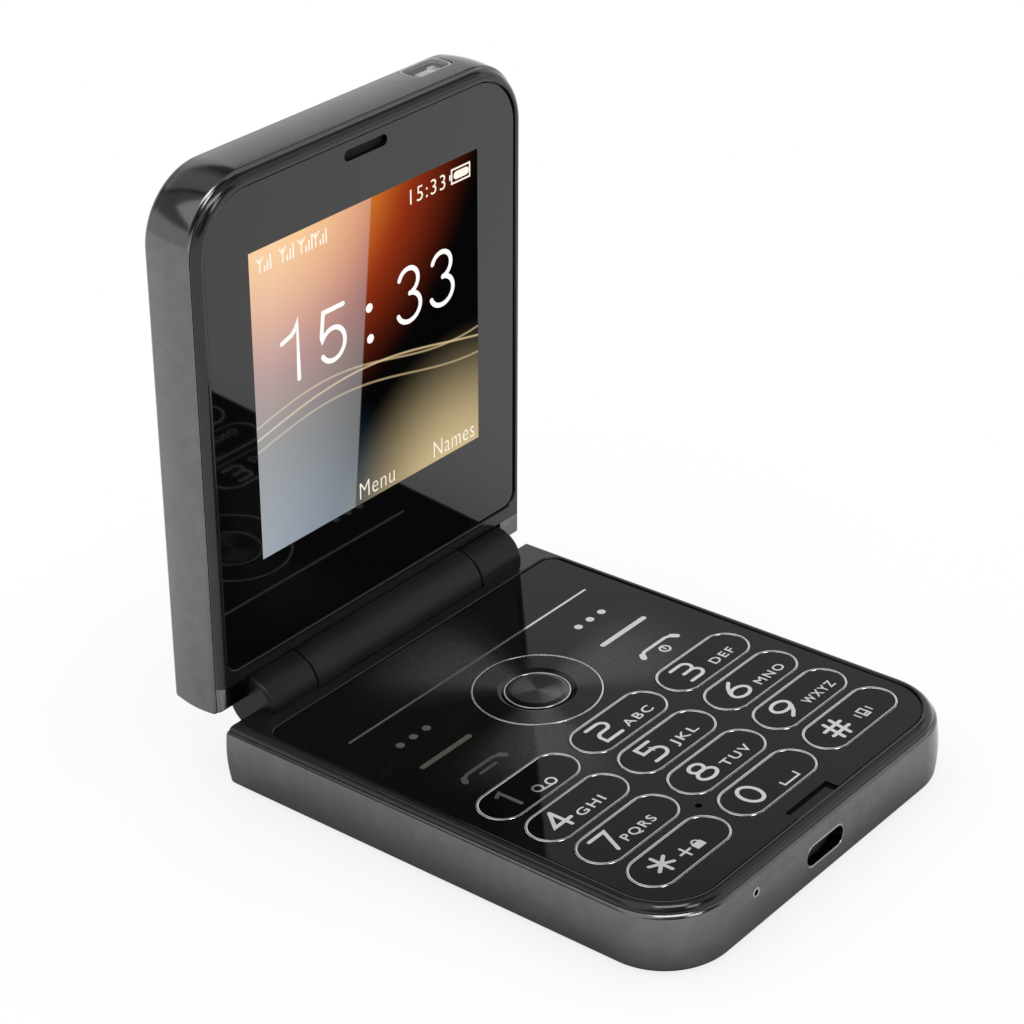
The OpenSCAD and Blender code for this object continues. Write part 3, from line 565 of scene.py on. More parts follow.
def joined(meshes: Sequence[Shape]) -> Shape:
    """Puts several meshes into one.

    Args:
        meshes: the meshes, which are used up.

    Returns:
        The one mesh.
    """
    whole = bmesh.new()
    for bm in meshes:
        mesh = bpy.data.meshes.new("part")
        bm.to_mesh(mesh)
        bm.free()
        whole.from_mesh(mesh)
        bpy.data.meshes.remove(mesh)
    return whole


def new_object(name: str, bm: Shape) -> Thing:
    """Makes an object of a mesh, with its place in the mesh.

    Args:
        name: its name.
        bm: the mesh, which is used up.

    Returns:
        The object.
    """
    mesh = bpy.data.meshes.new(name)
    bm.to_mesh(mesh)
    bm.free()
    made = bpy.data.objects.new(name, mesh)
    bpy.context.scene.collection.objects.link(made)
    return made


def settle(obj: Thing) -> Thing:
    """Turns the object and its modifiers into a plain mesh.

    Args:
        obj: the object.

    Returns:
        The object, or a new one in its place if it was a curve.
    """
    graph = bpy.context.evaluated_depsgraph_get()
    mesh = bpy.data.meshes.new_from_object(obj.evaluated_get(graph), depsgraph=graph)
    old = obj.data
    obj.modifiers.clear()
    if obj.type == "MESH":
        obj.data = mesh
        bpy.data.meshes.remove(old)
        return obj
    name = obj.name
    made = bpy.data.objects.new(name, mesh)
    bpy.data.objects.remove(obj)
    made.name = name
    bpy.context.scene.collection.objects.link(made)
    return made


def cut(obj: Thing, tool: Shape, how: str = "DIFFERENCE") -> None:
    """Cuts an object with a closed mesh, which is used up.

    Args:
        obj: the object.
        tool: the closed mesh.
        how: the kind of cut.
    """
    cutter = new_object("cutter", tool)
    knife = obj.modifiers.new("cut", "BOOLEAN")
    knife.operation, knife.object, knife.solver = how, cutter, "EXACT"
    settle(obj)
    bpy.data.meshes.remove(cutter.data)


def polish(obj: Thing, edge: float = 0.0) -> None:
    """Smooths shading between faces that nearly agree, and breaks sharp edges.

    Args:
        obj: the object.
        edge: width of the bevel on its sharp edges, if any.
    """
    if edge:
        bevel = obj.modifiers.new("bevel", "BEVEL")
        bevel.width, bevel.segments, bevel.limit_method = edge, 2, "ANGLE"
        bevel.angle_limit, bevel.harden_normals = math.radians(40), False
        settle(obj)
    mesh = obj.data
    mesh.polygons.foreach_set("use_smooth", [True] * len(mesh.polygons))
    mesh.set_sharp_from_angle(angle=SMOOTH_ANGLE)
    weigh = obj.modifiers.new("weigh", "WEIGHTED_NORMAL")
    weigh.keep_sharp, weigh.weight = True, 60
    settle(obj)


def piece(obj: Thing, body: Body | str, material: Material | None,
          replaces: Sequence[str] = (), edge: float = 0.0,
          smooth: bool = True) -> Thing:
    """Finishes a piece and hangs it on its body.

    Args:
        obj: the piece, in place.
        body: the body that it rides on.
        material: its finish, or None where it has one.
        replaces: the construction's pieces that it stands for.
        edge: width of a small bevel on its sharp edges.
        smooth: False to leave its shading alone.

    Returns:
        The piece.
    """
    if material:
        obj.data.materials.clear()
        obj.data.materials.append(material)
    if smooth:
        polish(obj, edge)
    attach(obj, body.value if isinstance(body, Body) else body)
    if replaces:
        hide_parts(*replaces)
    LOG.info("%s: %d faces, on %s", obj.name, len(obj.data.polygons), body)
    return obj


# node trees


class Pen:
    """Draws one node tree: adds nodes, sets plain values and links sockets."""

    def __init__(self, tree: Tree) -> None:
        """Starts on a tree."""
        self.tree = tree

    def node(self, kind: str, values: dict | None = None, **settings: object) -> Node:
        """Adds a node.

        Args:
            kind: the node's type.
            values: a value or a source socket for each named or numbered input.
            settings: the node's own properties.

        Returns:
            The node.
        """
        made = self.tree.nodes.new(kind)
        for name, value in settings.items():
            setattr(made, name, value)
        for key, value in (values or {}).items():
            self.give(made.inputs[key], value)
        return made

    def give(self, taker: Socket, value: object) -> None:
        """Sets an input, or links it to a socket or to a node's first output.

        Args:
            taker: the input.
            value: the plain value, socket or node.
        """
        source = value.outputs[0] if isinstance(value, Node) else value
        if isinstance(source, Socket):
            self.tree.links.new(source, taker)
        else:
            taker.default_value = source

    def math(self, operation: str, *values: Value, clamp: bool = False) -> Socket:
        """Adds a sum.

        Args:
            operation: what it does.
            values: up to three values.
            clamp: True to keep the result from 0 to 1.

        Returns:
            The result.
        """
        made = self.node("ShaderNodeMath", dict(enumerate(values)), operation=operation,
                         use_clamp=clamp)
        return made.outputs[0]

    def times(self, first: Value, second: Value) -> Socket:
        """Multiplies two values."""
        return self.math("MULTIPLY", first, second)

    def plus(self, first: Value, second: Value) -> Socket:
        """Adds two values."""
        return self.math("ADD", first, second)

    def less(self, first: Value, second: Value) -> Socket:
        """Takes the second value from the first."""
        return self.math("SUBTRACT", first, second)

    def span(self, value: Value, low: float, high: float, to_low: float = 0.0,
             to_high: float = 1.0, kind: str = "LINEAR") -> Socket:
        """Maps a value from one range to another and keeps it there.

        Args:
            value: the value.
            low: start of its own range.
            high: end of its own range.
            to_low: what the start becomes.
            to_high: what the end becomes.
            kind: how it runs between them.

        Returns:
            The result.
        """
        made = self.node("ShaderNodeMapRange", {0: value, 1: low, 2: high, 3: to_low, 4: to_high},
                         interpolation_type=kind)
        return made.outputs[0]

    def mix(self, share: Value, first: Socket | Colour, second: Socket | Colour) -> Socket:
        """Mixes two colours.

        Args:
            share: share of the second, from 0 to 1.
            first: the first colour.
            second: the second colour.

        Returns:
            The mixed colour.
        """
        made = self.node("ShaderNodeMix", data_type="RGBA", blend_type="MIX")
        for key, value in ((0, share), (6, first), (7, second)):
            self.give(made.inputs[key], (*value, 1) if isinstance(value, tuple) else value)
        return made.outputs[2]

    def faint_in_gloss(self, colour: Socket) -> Socket:
        """Lets a tenth of a glowing colour through to other pieces' gloss."""
        glossy = self.node("ShaderNodeLightPath").outputs["Is Glossy Ray"]
        return self.mix(self.times(glossy, 0.9), colour, BLACK)


def new_group(name: str, inputs: dict[str, tuple[str, object]],
              outputs: dict[str, str]) -> tuple[Tree, Pen, dict, Node]:
    """Starts a shader group.

    Args:
        name: the group's name.
        inputs: kind and starting value of each input.
        outputs: kind of each output.

    Returns:
        The tree, a pen on it, its input sockets by name, and its output node.
    """
    tree = bpy.data.node_groups.new(name, "ShaderNodeTree")
    for label, (kind, value) in inputs.items():
        made = tree.interface.new_socket(label, in_out="INPUT", socket_type=kind)
        if value is not None:
            made.default_value = value
    for label, kind in outputs.items():
        tree.interface.new_socket(label, in_out="OUTPUT", socket_type=kind)
    pen = Pen(tree)
    entry = pen.node("NodeGroupInput")
    return tree, pen, {s.name: s for s in entry.outputs}, pen.node("NodeGroupOutput")


FLOAT, VECTOR = "NodeSocketFloat", "NodeSocketVector"


def surface_group() -> Tree:
    """Builds the group for handling marks: patches, fine grain and worn edges.

    Returns:
        The group.
    """
    tree, pen, given, out = new_group(
        "surface_marks",
        {"Place": (VECTOR, None), "Grain Size": (FLOAT, 0.3 * MM), "Patch Size": (FLOAT, 12 * MM)},
        {"Patches": FLOAT, "Grain": FLOAT, "Wear": FLOAT})
    patches = pen.node("ShaderNodeTexNoise", {
        "Vector": given["Place"], "Scale": pen.math("DIVIDE", 1.0, given["Patch Size"]),
        "Detail": 4.0, "Roughness": 0.62, "Distortion": 0.6})
    grain = pen.node("ShaderNodeTexNoise", {
        "Vector": given["Place"], "Scale": pen.math("DIVIDE", 1.0, given["Grain Size"]),
        "Detail": 2.0, "Roughness": 0.5})
    edges = pen.span(pen.node("ShaderNodeNewGeometry").outputs["Pointiness"], 0.53, 0.62)
    broken = pen.times(edges, pen.span(patches, 0.35, 0.6, 0.35, 1.0))
    for label, value in (("Patches", patches), ("Grain", grain),
                         ("Wear", broken)):
        pen.give(out.inputs[label], value)
    return tree


def spun_sheen_group() -> Tree:
    """Builds the group for spun metal: painted fan-shaped reflections and fine relief rings round
    a centre.

    Returns:
        The group.
    """
    tree, pen, given, out = new_group(
        "spun_metal_sheen",
        {"Place": (VECTOR, None), "Centre X": (FLOAT, 0.0), "Centre Y": (FLOAT, 0.0),
         "Ring Pitch": (FLOAT, 0.22 * MM), "Fans": (FLOAT, 1.0), "Petals": (FLOAT, 4.0),
         "Turn": (FLOAT, 0.96)},
        {"Painted Gleam": FLOAT, "Rings": FLOAT, "Distance": FLOAT})
    apart = pen.node("ShaderNodeSeparateXYZ", {0: given["Place"]})
    x = pen.less(apart.outputs[0], given["Centre X"])
    y = pen.less(apart.outputs[1], given["Centre Y"])
    far = pen.math("SQRT", pen.plus(pen.times(x, x), pen.times(y, y)))
    turn = pen.math("ARCTAN2", y, x)
    round_trip = pen.node("ShaderNodeCombineXYZ", {
        0: pen.math("COSINE", turn), 1: pen.math("SINE", turn), 2: 0.0})
    fans = pen.node("ShaderNodeTexNoise", {
        "Vector": round_trip, "Scale": given["Fans"], "Detail": 3.0,
        "Roughness": 0.55})
    speckle = pen.node("ShaderNodeTexNoise", {
        "Vector": given["Place"], "Scale": 1 / (0.7 * MM), "Detail": 3.0, "Roughness": 0.6})
    # Painted highlight: bright and dark fans round the centre stand in for the reflections of spun
    # grooves.
    bow = pen.math("COSINE", pen.times(pen.less(turn, given["Turn"]), given["Petals"]))
    painted_gleam = pen.plus(bow, pen.times(pen.less(fans, 0.5), 1.8))
    painted_gleam = pen.times(pen.span(painted_gleam, -0.6, 1.2, kind="SMOOTHSTEP"), pen.span(
        speckle, 0.3, 0.7, 0.65, 1.0))
    rings = pen.math("SINE", pen.times(pen.math(
        "DIVIDE", far, given["Ring Pitch"]), math.tau))
    for label, value in (("Painted Gleam", painted_gleam), ("Rings", rings), ("Distance", far)):
        pen.give(out.inputs[label], value)
    return tree


GROUPS = {"surface": surface_group(), "spun": spun_sheen_group()}


# finishes


def grey(value: float, warm: float = 0.0) -> Colour:
    """A neutral colour, a little warm or cool."""
    return (value * (1 + warm), value, value * (1 - warm))


@dataclass(frozen=True)
class Finish:
    """A moulded, plated or painted surface with grain, handling marks and worn edges."""

    name: str
    colour: Colour
    metallic: float = 0.0
    roughness: float = 0.4
    roughness_spread: float = 0.06
    grain_size: float = 0.3 * MM
    grain_depth: float = 0.004 * MM
    patch_size: float = 14 * MM
    patch_tint: float = 0.08
    wear: float = 0.25
    ior: float = 1.5
    specular: float = 0.5
    alpha: float = 1.0

    def start(self) -> tuple[Material, Pen, Node]:
        """Makes the material with its principled shader and returns what draws on it.

        Returns:
            The material, a pen on its tree and its shader.
        """
        material = bpy.data.materials.new(self.name)
        material.use_nodes = True
        material.diffuse_color = (*self.colour, 1)
        pen = Pen(material.node_tree)
        shader = material.node_tree.nodes["Principled BSDF"]
        shader.inputs["Metallic"].default_value = self.metallic
        shader.inputs["IOR"].default_value = self.ior
        shader.inputs["Specular IOR Level"].default_value = self.specular
        shader.inputs["Alpha"].default_value = self.alpha
        return material, pen, shader

    def marks(self, pen: Pen) -> Node:
        """Places the shared handling marks on the object's own coordinates.

        Args:
            pen: a pen on the material's tree.

        Returns:
            The group's node.
        """
        place = pen.node("ShaderNodeTexCoord").outputs["Object"]
        marks = pen.node("ShaderNodeGroup", node_tree=GROUPS["surface"])
        pen.give(marks.inputs["Place"], place)
        marks.inputs["Grain Size"].default_value = self.grain_size
        marks.inputs["Patch Size"].default_value = self.patch_size
        return marks

    def base_colour(self, pen: Pen, marks: Node) -> Socket:
        """Varies the colour with the patches and lightens it on worn edges.

        Args:
            pen: a pen on the material's tree.
            marks: the handling marks.

        Returns:
            The colour.
        """
        dark = tuple(c * (1 - self.patch_tint) for c in self.colour)
        light = tuple(min(c * (1 + self.patch_tint), 1) for c in self.colour)
        varied = pen.mix(pen.span(marks.outputs["Patches"], 0.3, 0.7), dark, light)
        worn = tuple(min(c * 1.8 + 0.03, 0.9) for c in self.colour)
        return pen.mix(pen.times(marks.outputs["Wear"], self.wear), varied, worn)

    def relief(self, pen: Pen, marks: Node) -> Socket:
        """The height of the surface's fine relief, from 0 to 1."""
        return marks.outputs["Grain"]

    def build(self) -> Material:
        """Builds the whole material.

        Returns:
            The material.
        """
        material, pen, shader = self.start()
        marks = self.marks(pen)
        pen.give(shader.inputs["Base Color"], self.base_colour(pen, marks))
        rough = pen.span(marks.outputs["Patches"], 0.3, 0.7,
                         self.roughness - self.roughness_spread,
                         self.roughness + self.roughness_spread)
        pen.give(shader.inputs["Roughness"], rough)
        bump = pen.node("ShaderNodeBump", {"Distance": self.grain_depth, "Strength": 0.6,
                                           "Height": self.relief(pen, marks)})
        pen.give(shader.inputs["Normal"], bump)
        return material


@dataclass(frozen=True)
class SpunFinish(Finish):
    """Metal spun round a centre, with painted fan-shaped reflections in its colour and fine rings
    in its relief.
    """

    centre: tuple[float, float] = (0.0, 0.0)
    # Colour of the painted reflection fans.
    painted_gleam: Colour = (0.2, 0.2, 0.2)
    ring_pitch: float = 0.22 * MM
    fans: float = 1.6
    petals: float = 3.0
    turn: float = 1.75
    fade_from: float = 1.0
    fade_to: float = 2.0

    def spun(self, pen: Pen) -> Node:
        """Places the shared spun pattern, relief rings and painted reflection fans, round this
        finish's centre.

        Args:
            pen: a pen on the material's tree.

        Returns:
            The group's node.
        """
        place = pen.node("ShaderNodeTexCoord").outputs["Object"]
        spun = pen.node("ShaderNodeGroup", node_tree=GROUPS["spun"])
        pen.give(spun.inputs["Place"], place)
        for label, value in (("Centre X", self.centre[0]), ("Centre Y", self.centre[1]),
                             ("Ring Pitch", self.ring_pitch), ("Fans", self.fans),
                             ("Petals", self.petals), ("Turn", self.turn)):
            spun.inputs[label].default_value = value
        return spun

    def base_colour(self, pen: Pen, marks: Node) -> Socket:
        """Lays the painted fan-shaped reflections over the base colour, fading out with distance.

        Args:
            pen: a pen on the material's tree.
            marks: the handling marks; not used.

        Returns:
            The colour.
        """
        spun = self.spun(pen)
        near = pen.span(spun.outputs["Distance"], self.fade_from, self.fade_to, 1.0, 0.0,
                        "SMOOTHSTEP")
        # Painted highlight: the fans lighten the base colour, fading out away from the centre.
        share = pen.times(spun.outputs["Painted Gleam"], near)
        return pen.mix(share, self.colour, self.painted_gleam)

    def relief(self, pen: Pen, marks: Node) -> Socket:
        """Fine rings round the centre, with the grain between them.

        Args:
            pen: a pen on the material's tree.
            marks: the handling marks.

        Returns:
            The height.
        """
        rings = self.spun(pen).outputs["Rings"]
        return pen.plus(pen.times(rings, 0.5), marks.outputs["Grain"])


@dataclass(frozen=True)
class WovenFinish(Finish):
    """Fine woven wire or cloth."""

    pitch: float = 0.25 * MM

    def relief(self, pen: Pen, marks: Node) -> Socket:
        """Crossing threads at the weave's pitch.

        Args:
            pen: a pen on the material's tree.
            marks: the handling marks; not used.

        Returns:
            The height.
        """
        place = pen.node("ShaderNodeSeparateXYZ",
                         {0: pen.node("ShaderNodeTexCoord").outputs["Object"]})
        waves = [pen.math("SINE", pen.times(place.outputs[i], math.tau / self.pitch))
                 for i in (0, 2)]
        return pen.times(*waves)


@dataclass(frozen=True)
class BoardFinish(Finish):
    """Circuit board under green lacquer, with copper tracks showing through."""

    track: Colour = (0.05, 0.22, 0.09)
    cell: float = 1.6 * MM

    def base_colour(self, pen: Pen, marks: Node) -> Socket:
        """Square-cornered tracks and pads in a lighter green.

        Args:
            pen: a pen on the material's tree.
            marks: the handling marks; not used.

        Returns:
            The colour.
        """
        place = pen.node("ShaderNodeTexCoord").outputs["Object"]
        cells = pen.node("ShaderNodeTexVoronoi", {"Vector": place, "Scale": 1 / self.cell},
                         feature="F1", distance="CHEBYCHEV")
        line = pen.math("LESS_THAN", pen.math("PINGPONG", cells.outputs["Distance"], 0.12), 0.035)
        return pen.mix(line, self.colour, self.track)


@dataclass(frozen=True)
class GlowFinish(Finish):
    """Marks that shine in the lit screen."""

    strength: float = 0.95

    def build(self) -> Material:
        """Builds a glowing mark with the slight unevenness of a backlight.

        Returns:
            The material.
        """
        material, pen, shader = self.start()
        marks = self.marks(pen)
        shader.inputs["Base Color"].default_value = (0.02, 0.02, 0.02, 1)
        shader.inputs["Roughness"].default_value = self.roughness
        shader.inputs["Emission Strength"].default_value = self.strength
        glow = pen.mix(pen.span(marks.outputs["Patches"], 0.3, 0.7), self.colour,
                       tuple(c * 0.94 for c in self.colour))
        pen.give(shader.inputs["Emission Color"], pen.faint_in_gloss(glow))
        return material


@dataclass(frozen=True)
class ScreenFinish(Finish):
    """The lit screen: four soft round lights in its corners, on the window's own map.

    Each light has a colour, a centre, and the distances where it starts to fade and ends.
    Thin waves cross its middle, each with a height, swing, pace and strength, and a pale
    slanting painted glare, a painted reflection, lies over its left side.
    """

    lights: Sequence[tuple[Colour, tuple[float, float], float, float]] = (
        ((0.5, 0.05, 0.01), (0.15, 1.2), 0.3, 0.9),
        ((1.0, 0.5, 0.05), (0.1, 1.2), 0.1, 0.65),
        ((0.02, 0.08, 0.15), (0.1, -0.1), 0.1, 0.6),
        ((0.7, 0.55, 0.3), (0.9, -0.2), 0.1, 0.65))
    waves: Sequence[tuple[float, float, float, float]] = (
        (0.44, 0.045, 5.2, 0.5), (0.40, 0.06, 3.7, 0.7), (0.36, 0.05, 4.6, 0.45))
    wave_width: float = 0.006
    wave_colour: Colour = (0.85, 0.64, 0.36)
    # Painted reflection: a pale slanting glare over the left side, set by its slant, edge and
    # tones.
    glare_slant: float = 0.107
    glare_edge: tuple[float, float] = (0.407, 0.413)
    glare_tones: tuple[float, float] = (0.34, 0.17)

    def light(self, pen: Pen, u: Socket, v: Socket, centre: tuple[float, float],
              near: float, far: float) -> Socket:
        """Measures how strong a soft round light is at a place, from 0 to 1.

        Args:
            pen: a pen on the material's tree.
            u: place across the screen.
            v: place up the screen.
            centre: the light's middle.
            near: distance where it starts to fade.
            far: distance where it ends.

        Returns:
            Its strength.
        """
        across, up = (pen.less(value, middle) for value, middle in zip((u, v), centre))
        away = pen.math("SQRT", pen.plus(pen.times(across, across), pen.times(up, up)))
        return pen.span(away, near, far, 1.0, 0.0, "SMOOTHSTEP")

    def picture(self, pen: Pen) -> Socket:
        """Draws the picture on the map, with a painted glare over its left side, where u runs
        right and v runs up.

        Args:
            pen: a pen on the material's tree.

        Returns:
            The picture's colour.
        """
        place = pen.node("ShaderNodeSeparateXYZ",
                         {0: pen.node("ShaderNodeUVMap", uv_map="screen")})
        u, v = place.outputs[0], place.outputs[1]
        sky = BLACK
        for colour, centre, near, far in self.lights:
            sky = pen.mix(self.light(pen, u, v, centre, near, far), sky, colour)
        for base, swing, pace, strength in self.waves:
            crest = pen.plus(pen.times(pen.math("SINE", pen.times(u, pace)), swing), base)
            away = pen.math("ABSOLUTE", pen.less(v, crest))
            line = pen.span(away, 0.0, self.wave_width, strength, 0.0, "SMOOTHSTEP")
            sky = pen.mix(line, sky, self.wave_colour)
        # Painted reflection: a pale glare left of a slanting edge, brighter towards the left.
        slant = pen.less(u, pen.times(v, self.glare_slant))
        painted_glare = pen.span(slant, *self.glare_edge, 1.0, 0.0)
        tone = pen.span(slant, 0.0, sum(self.glare_edge) / 2, *self.glare_tones)
        return pen.mix(pen.times(painted_glare, tone), sky, WHITE)

    def build(self) -> Material:
        """Builds the screen as glowing colour under glass, faint in other pieces' gloss.

        Returns:
            The material.
        """
        material, pen, shader = self.start()
        shader.inputs["Base Color"].default_value = (0.002, 0.002, 0.002, 1)
        shader.inputs["Roughness"].default_value = self.roughness
        shader.inputs["Emission Strength"].default_value = 1.0
        pen.give(shader.inputs["Emission Color"], pen.faint_in_gloss(self.picture(pen)))
        return material


NAV = Vector((0.0, 11.06 * MM, 0.0))


class Palette:
    """Every finish of the phone, built once."""

    def __init__(self) -> None:
        """Builds the finishes."""
        self.plating = Finish("gunmetal_plating", grey(0.12, 0.008), 1.0, 0.15, 0.03,
                              0.5 * MM, 0.002 * MM, 3 * MM, 0.09, 0.5).build()
        self.rim = Finish("rim_gloss_black", grey(0.008), 0.0, 0.12, 0.03, 0.5 * MM,
                          0.0012 * MM, 15 * MM, 0.1, 0.3, ior=1.42).build()
        # The panel, ring and button carry painted reflection fans in their colour.
        self.panel = SpunFinish(
            "panel_gloss_black", grey(0.004), 0.0, 0.05, 0.015, 0.5 * MM, 0.0008 * MM,
            wear=0.1, ior=1.22, centre=NAV.xy, painted_gleam=grey(0.05), fans=1.3,
            fade_from=14 * MM, fade_to=32 * MM).build()
        self.key = Finish("key_gloss_black", grey(0.002), 0.0, 0.045, 0.012, 0.6 * MM,
                          0.0006 * MM, 9 * MM, 0.1, 0.1, ior=1.2).build()
        self.ring = SpunFinish(
            "nav_ring_black", grey(0.004), 0.0, 0.12, 0.03, 0.3 * MM, 0.0012 * MM,
            wear=0.1, ior=1.21, centre=NAV.xy, painted_gleam=grey(0.05), fans=1.3,
            fade_from=12 * MM, fade_to=14 * MM).build()
        self.button = SpunFinish(
            "ok_button_black", grey(0.015), 0.8, 0.24, 0.03, 0.3 * MM, 0.003 * MM,
            wear=0.1, centre=NAV.xy, painted_gleam=grey(0.13), fans=1.1, petals=2.0, turn=1.83,
            fade_from=12 * MM, fade_to=14 * MM).build()
        self.trim = Finish("trim_bright", grey(0.58, 0.01), 0.8, 0.2, 0.04, 0.3 * MM,
                           0.001 * MM, 6 * MM, 0.06, 0.3).build()
        self.ink = Finish("key_ink", grey(0.56, 0.01), 0.9, 0.1, 0.03, 0.15 * MM,
                          0.0008 * MM, 5 * MM, 0.05, 0.1).build()
        self.cut_metal = Finish("cut_metal", grey(0.36, 0.01), 1.0, 0.2, 0.04, 0.2 * MM,
                                0.001 * MM, 4 * MM, 0.08, 0.2).build()
        self.barrel = Finish("barrel_satin_black", grey(0.005), 0.0, 0.36, 0.05, 0.18 * MM,
                             0.004 * MM, 10 * MM, 0.12, 0.3, specular=0.22).build()
        self.cover = Finish("cover_black", grey(0.020), 0.0, 0.48, 0.06, 0.35 * MM,
                            0.02 * MM, 18 * MM, 0.15, 0.3).build()
        self.plastic = Finish("inner_black_plastic", grey(0.05), 0.0, 0.5, 0.06, 0.3 * MM,
                              0.01 * MM).build()
        self.glass = Finish("screen_glass", grey(0.0015), 0.0, 0.035, 0.012, 1.2 * MM,
                            0.0004 * MM, 22 * MM, 0.1, 0.1, ior=1.46).build()
        self.screen = ScreenFinish("screen", (0.75, 0.45, 0.15), 0.0, 0.05, ior=1.1,
                                   specular=0.0).build()
        self.glow = GlowFinish("screen_marks", (0.98, 0.98, 0.96), 0.0, 0.2).build()
        self.faint_glow = GlowFinish("screen_small_marks", (1.0, 0.93, 0.78), 0.0,
                                     0.2).build()
        self.guide = Finish("light_guide", grey(0.82), 0.0, 0.3).build()
        self.clear = Finish("torch_clear", grey(0.25), 0.0, 0.1, alpha=0.22).build()
        self.frame = Finish("torch_frame_grey", grey(0.3), 0.0, 0.3, 0.05, 0.2 * MM,
                            0.003 * MM, 6 * MM).build()
        self.lamp = Finish("lamp_yellow", (0.85, 0.62, 0.12), 0.0, 0.45, grain_size=0.1 * MM,
                           grain_depth=0.01 * MM).build()
        self.board = BoardFinish("board_green", (0.015, 0.09, 0.035), 0.0, 0.3).build()
        self.steel = Finish("sheet_steel", grey(0.52), 1.0, 0.3, 0.07, 0.2 * MM,
                            0.004 * MM).build()
        self.gold = Finish("contact_gold", (0.80, 0.56, 0.22), 1.0, 0.24, 0.05).build()
        self.wrap = Finish("battery_wrap", grey(0.6), 0.7, 0.4, 0.06, 0.4 * MM,
                           0.01 * MM).build()
        self.rubber = Finish("rubber_grey", grey(0.28), 0.0, 0.7, 0.06, 0.2 * MM,
                             0.01 * MM).build()
        self.mesh = WovenFinish("mesh_black", grey(0.03), 0.6, 0.45, 0.05, 0.2 * MM,
                                0.02 * MM).build()


# geometry trees


class GrowTree:
    """A geometry tree with named inputs, which grows meshes with given sizes."""

    def __init__(self, name: str, inputs: dict[str, tuple[str, object]]) -> None:
        """Starts the tree.

        Args:
            name: the tree's name.
            inputs: kind and starting value of each input.
        """
        self.tree = bpy.data.node_groups.new(name, "GeometryNodeTree")
        self.tree.interface.new_socket("Geometry", in_out="OUTPUT",
                                       socket_type="NodeSocketGeometry")
        self.ids: dict[str, str] = {}
        for label, (kind, value) in inputs.items():
            made = self.tree.interface.new_socket(label, in_out="INPUT", socket_type=kind)
            if value is not None:
                made.default_value = value
            self.ids[label] = made.identifier
        self.pen = Pen(self.tree)
        self.given = {s.name: s for s in self.pen.node("NodeGroupInput").outputs}

    def end(self, mesh: Value) -> None:
        """Ends the tree in real, dressed geometry.

        Args:
            mesh: the geometry.
        """
        real = self.pen.node("GeometryNodeRealizeInstances", {0: mesh})
        dressed = self.pen.node("GeometryNodeSetMaterial",
                                {0: real, "Material": self.given["Material"]})
        self.pen.node("NodeGroupOutput", {0: dressed})

    def grow(self, name: str, **values: object) -> Thing:
        """Grows one mesh.

        Args:
            name: the new object's name.
            values: a value for each input, with spaces written as underscores.

        Returns:
            The object, with a plain mesh.
        """
        made = bpy.data.objects.new(name, bpy.data.meshes.new(name))
        bpy.context.scene.collection.objects.link(made)
        modifier = made.modifiers.new("grow", "NODES")
        modifier.node_group = self.tree
        for label, value in values.items():
            modifier[self.ids[label.replace("_", " ").title()]] = value
        return settle(made)


MATERIAL, WHOLE = "NodeSocketMaterial", "NodeSocketInt"


def pill_path(pen: Pen, width: Value, depth: Value, count: Value) -> Socket:
    """Draws a pill-shaped path with upright normals and returns its curve.

    Args:
        pen: a pen on the tree.
        width: the pill's length.
        depth: its width across.
        count: segments of each corner.

    Returns:
        The path.
    """
    frame_curve = pen.node("GeometryNodeCurvePrimitiveQuadrilateral",
                           {"Width": width, "Height": depth})
    radius = pen.times(depth, 0.4999)
    rounded = pen.node("GeometryNodeFilletCurve", {
        0: frame_curve, "Count": count, "Radius": radius}, mode="POLY")
    return pen.node("GeometryNodeSetCurveNormal", {0: rounded.outputs[0]},
                    mode="Z_UP").outputs[0]


def bead_tree() -> GrowTree:
    """Builds the tree for a bead that follows a pill-shaped path.

    Returns:
        The tree.
    """
    grow = GrowTree("pill_bead", {
        "Width": (FLOAT, 0.02), "Depth": (FLOAT, 0.008), "Bead": (FLOAT, 0.0004),
        "Rise": (FLOAT, 0.0001), "Height": (FLOAT, 0.0), "Steps": (WHOLE, 20),
        "Material": (MATERIAL, None)})
    pen, given = grow.pen, grow.given
    path = pill_path(pen, given["Width"], given["Depth"], given["Steps"])
    ring = pen.node("GeometryNodeCurvePrimitiveCircle", {"Resolution": 10, "Radius": 0.5})
    size = pen.node("ShaderNodeCombineXYZ", {
        0: given["Bead"], 1: pen.times(given["Rise"], 2.0), 2: 1.0})
    oval = pen.node("GeometryNodeTransform", {0: ring, "Scale": size})
    tube = pen.node("GeometryNodeCurveToMesh", {0: path, 1: oval})
    lift = pen.node("ShaderNodeCombineXYZ", {2: given["Height"]})
    raised = pen.node("GeometryNodeTransform",
                      {0: tube, "Translation": lift})
    grow.end(raised)
    return grow


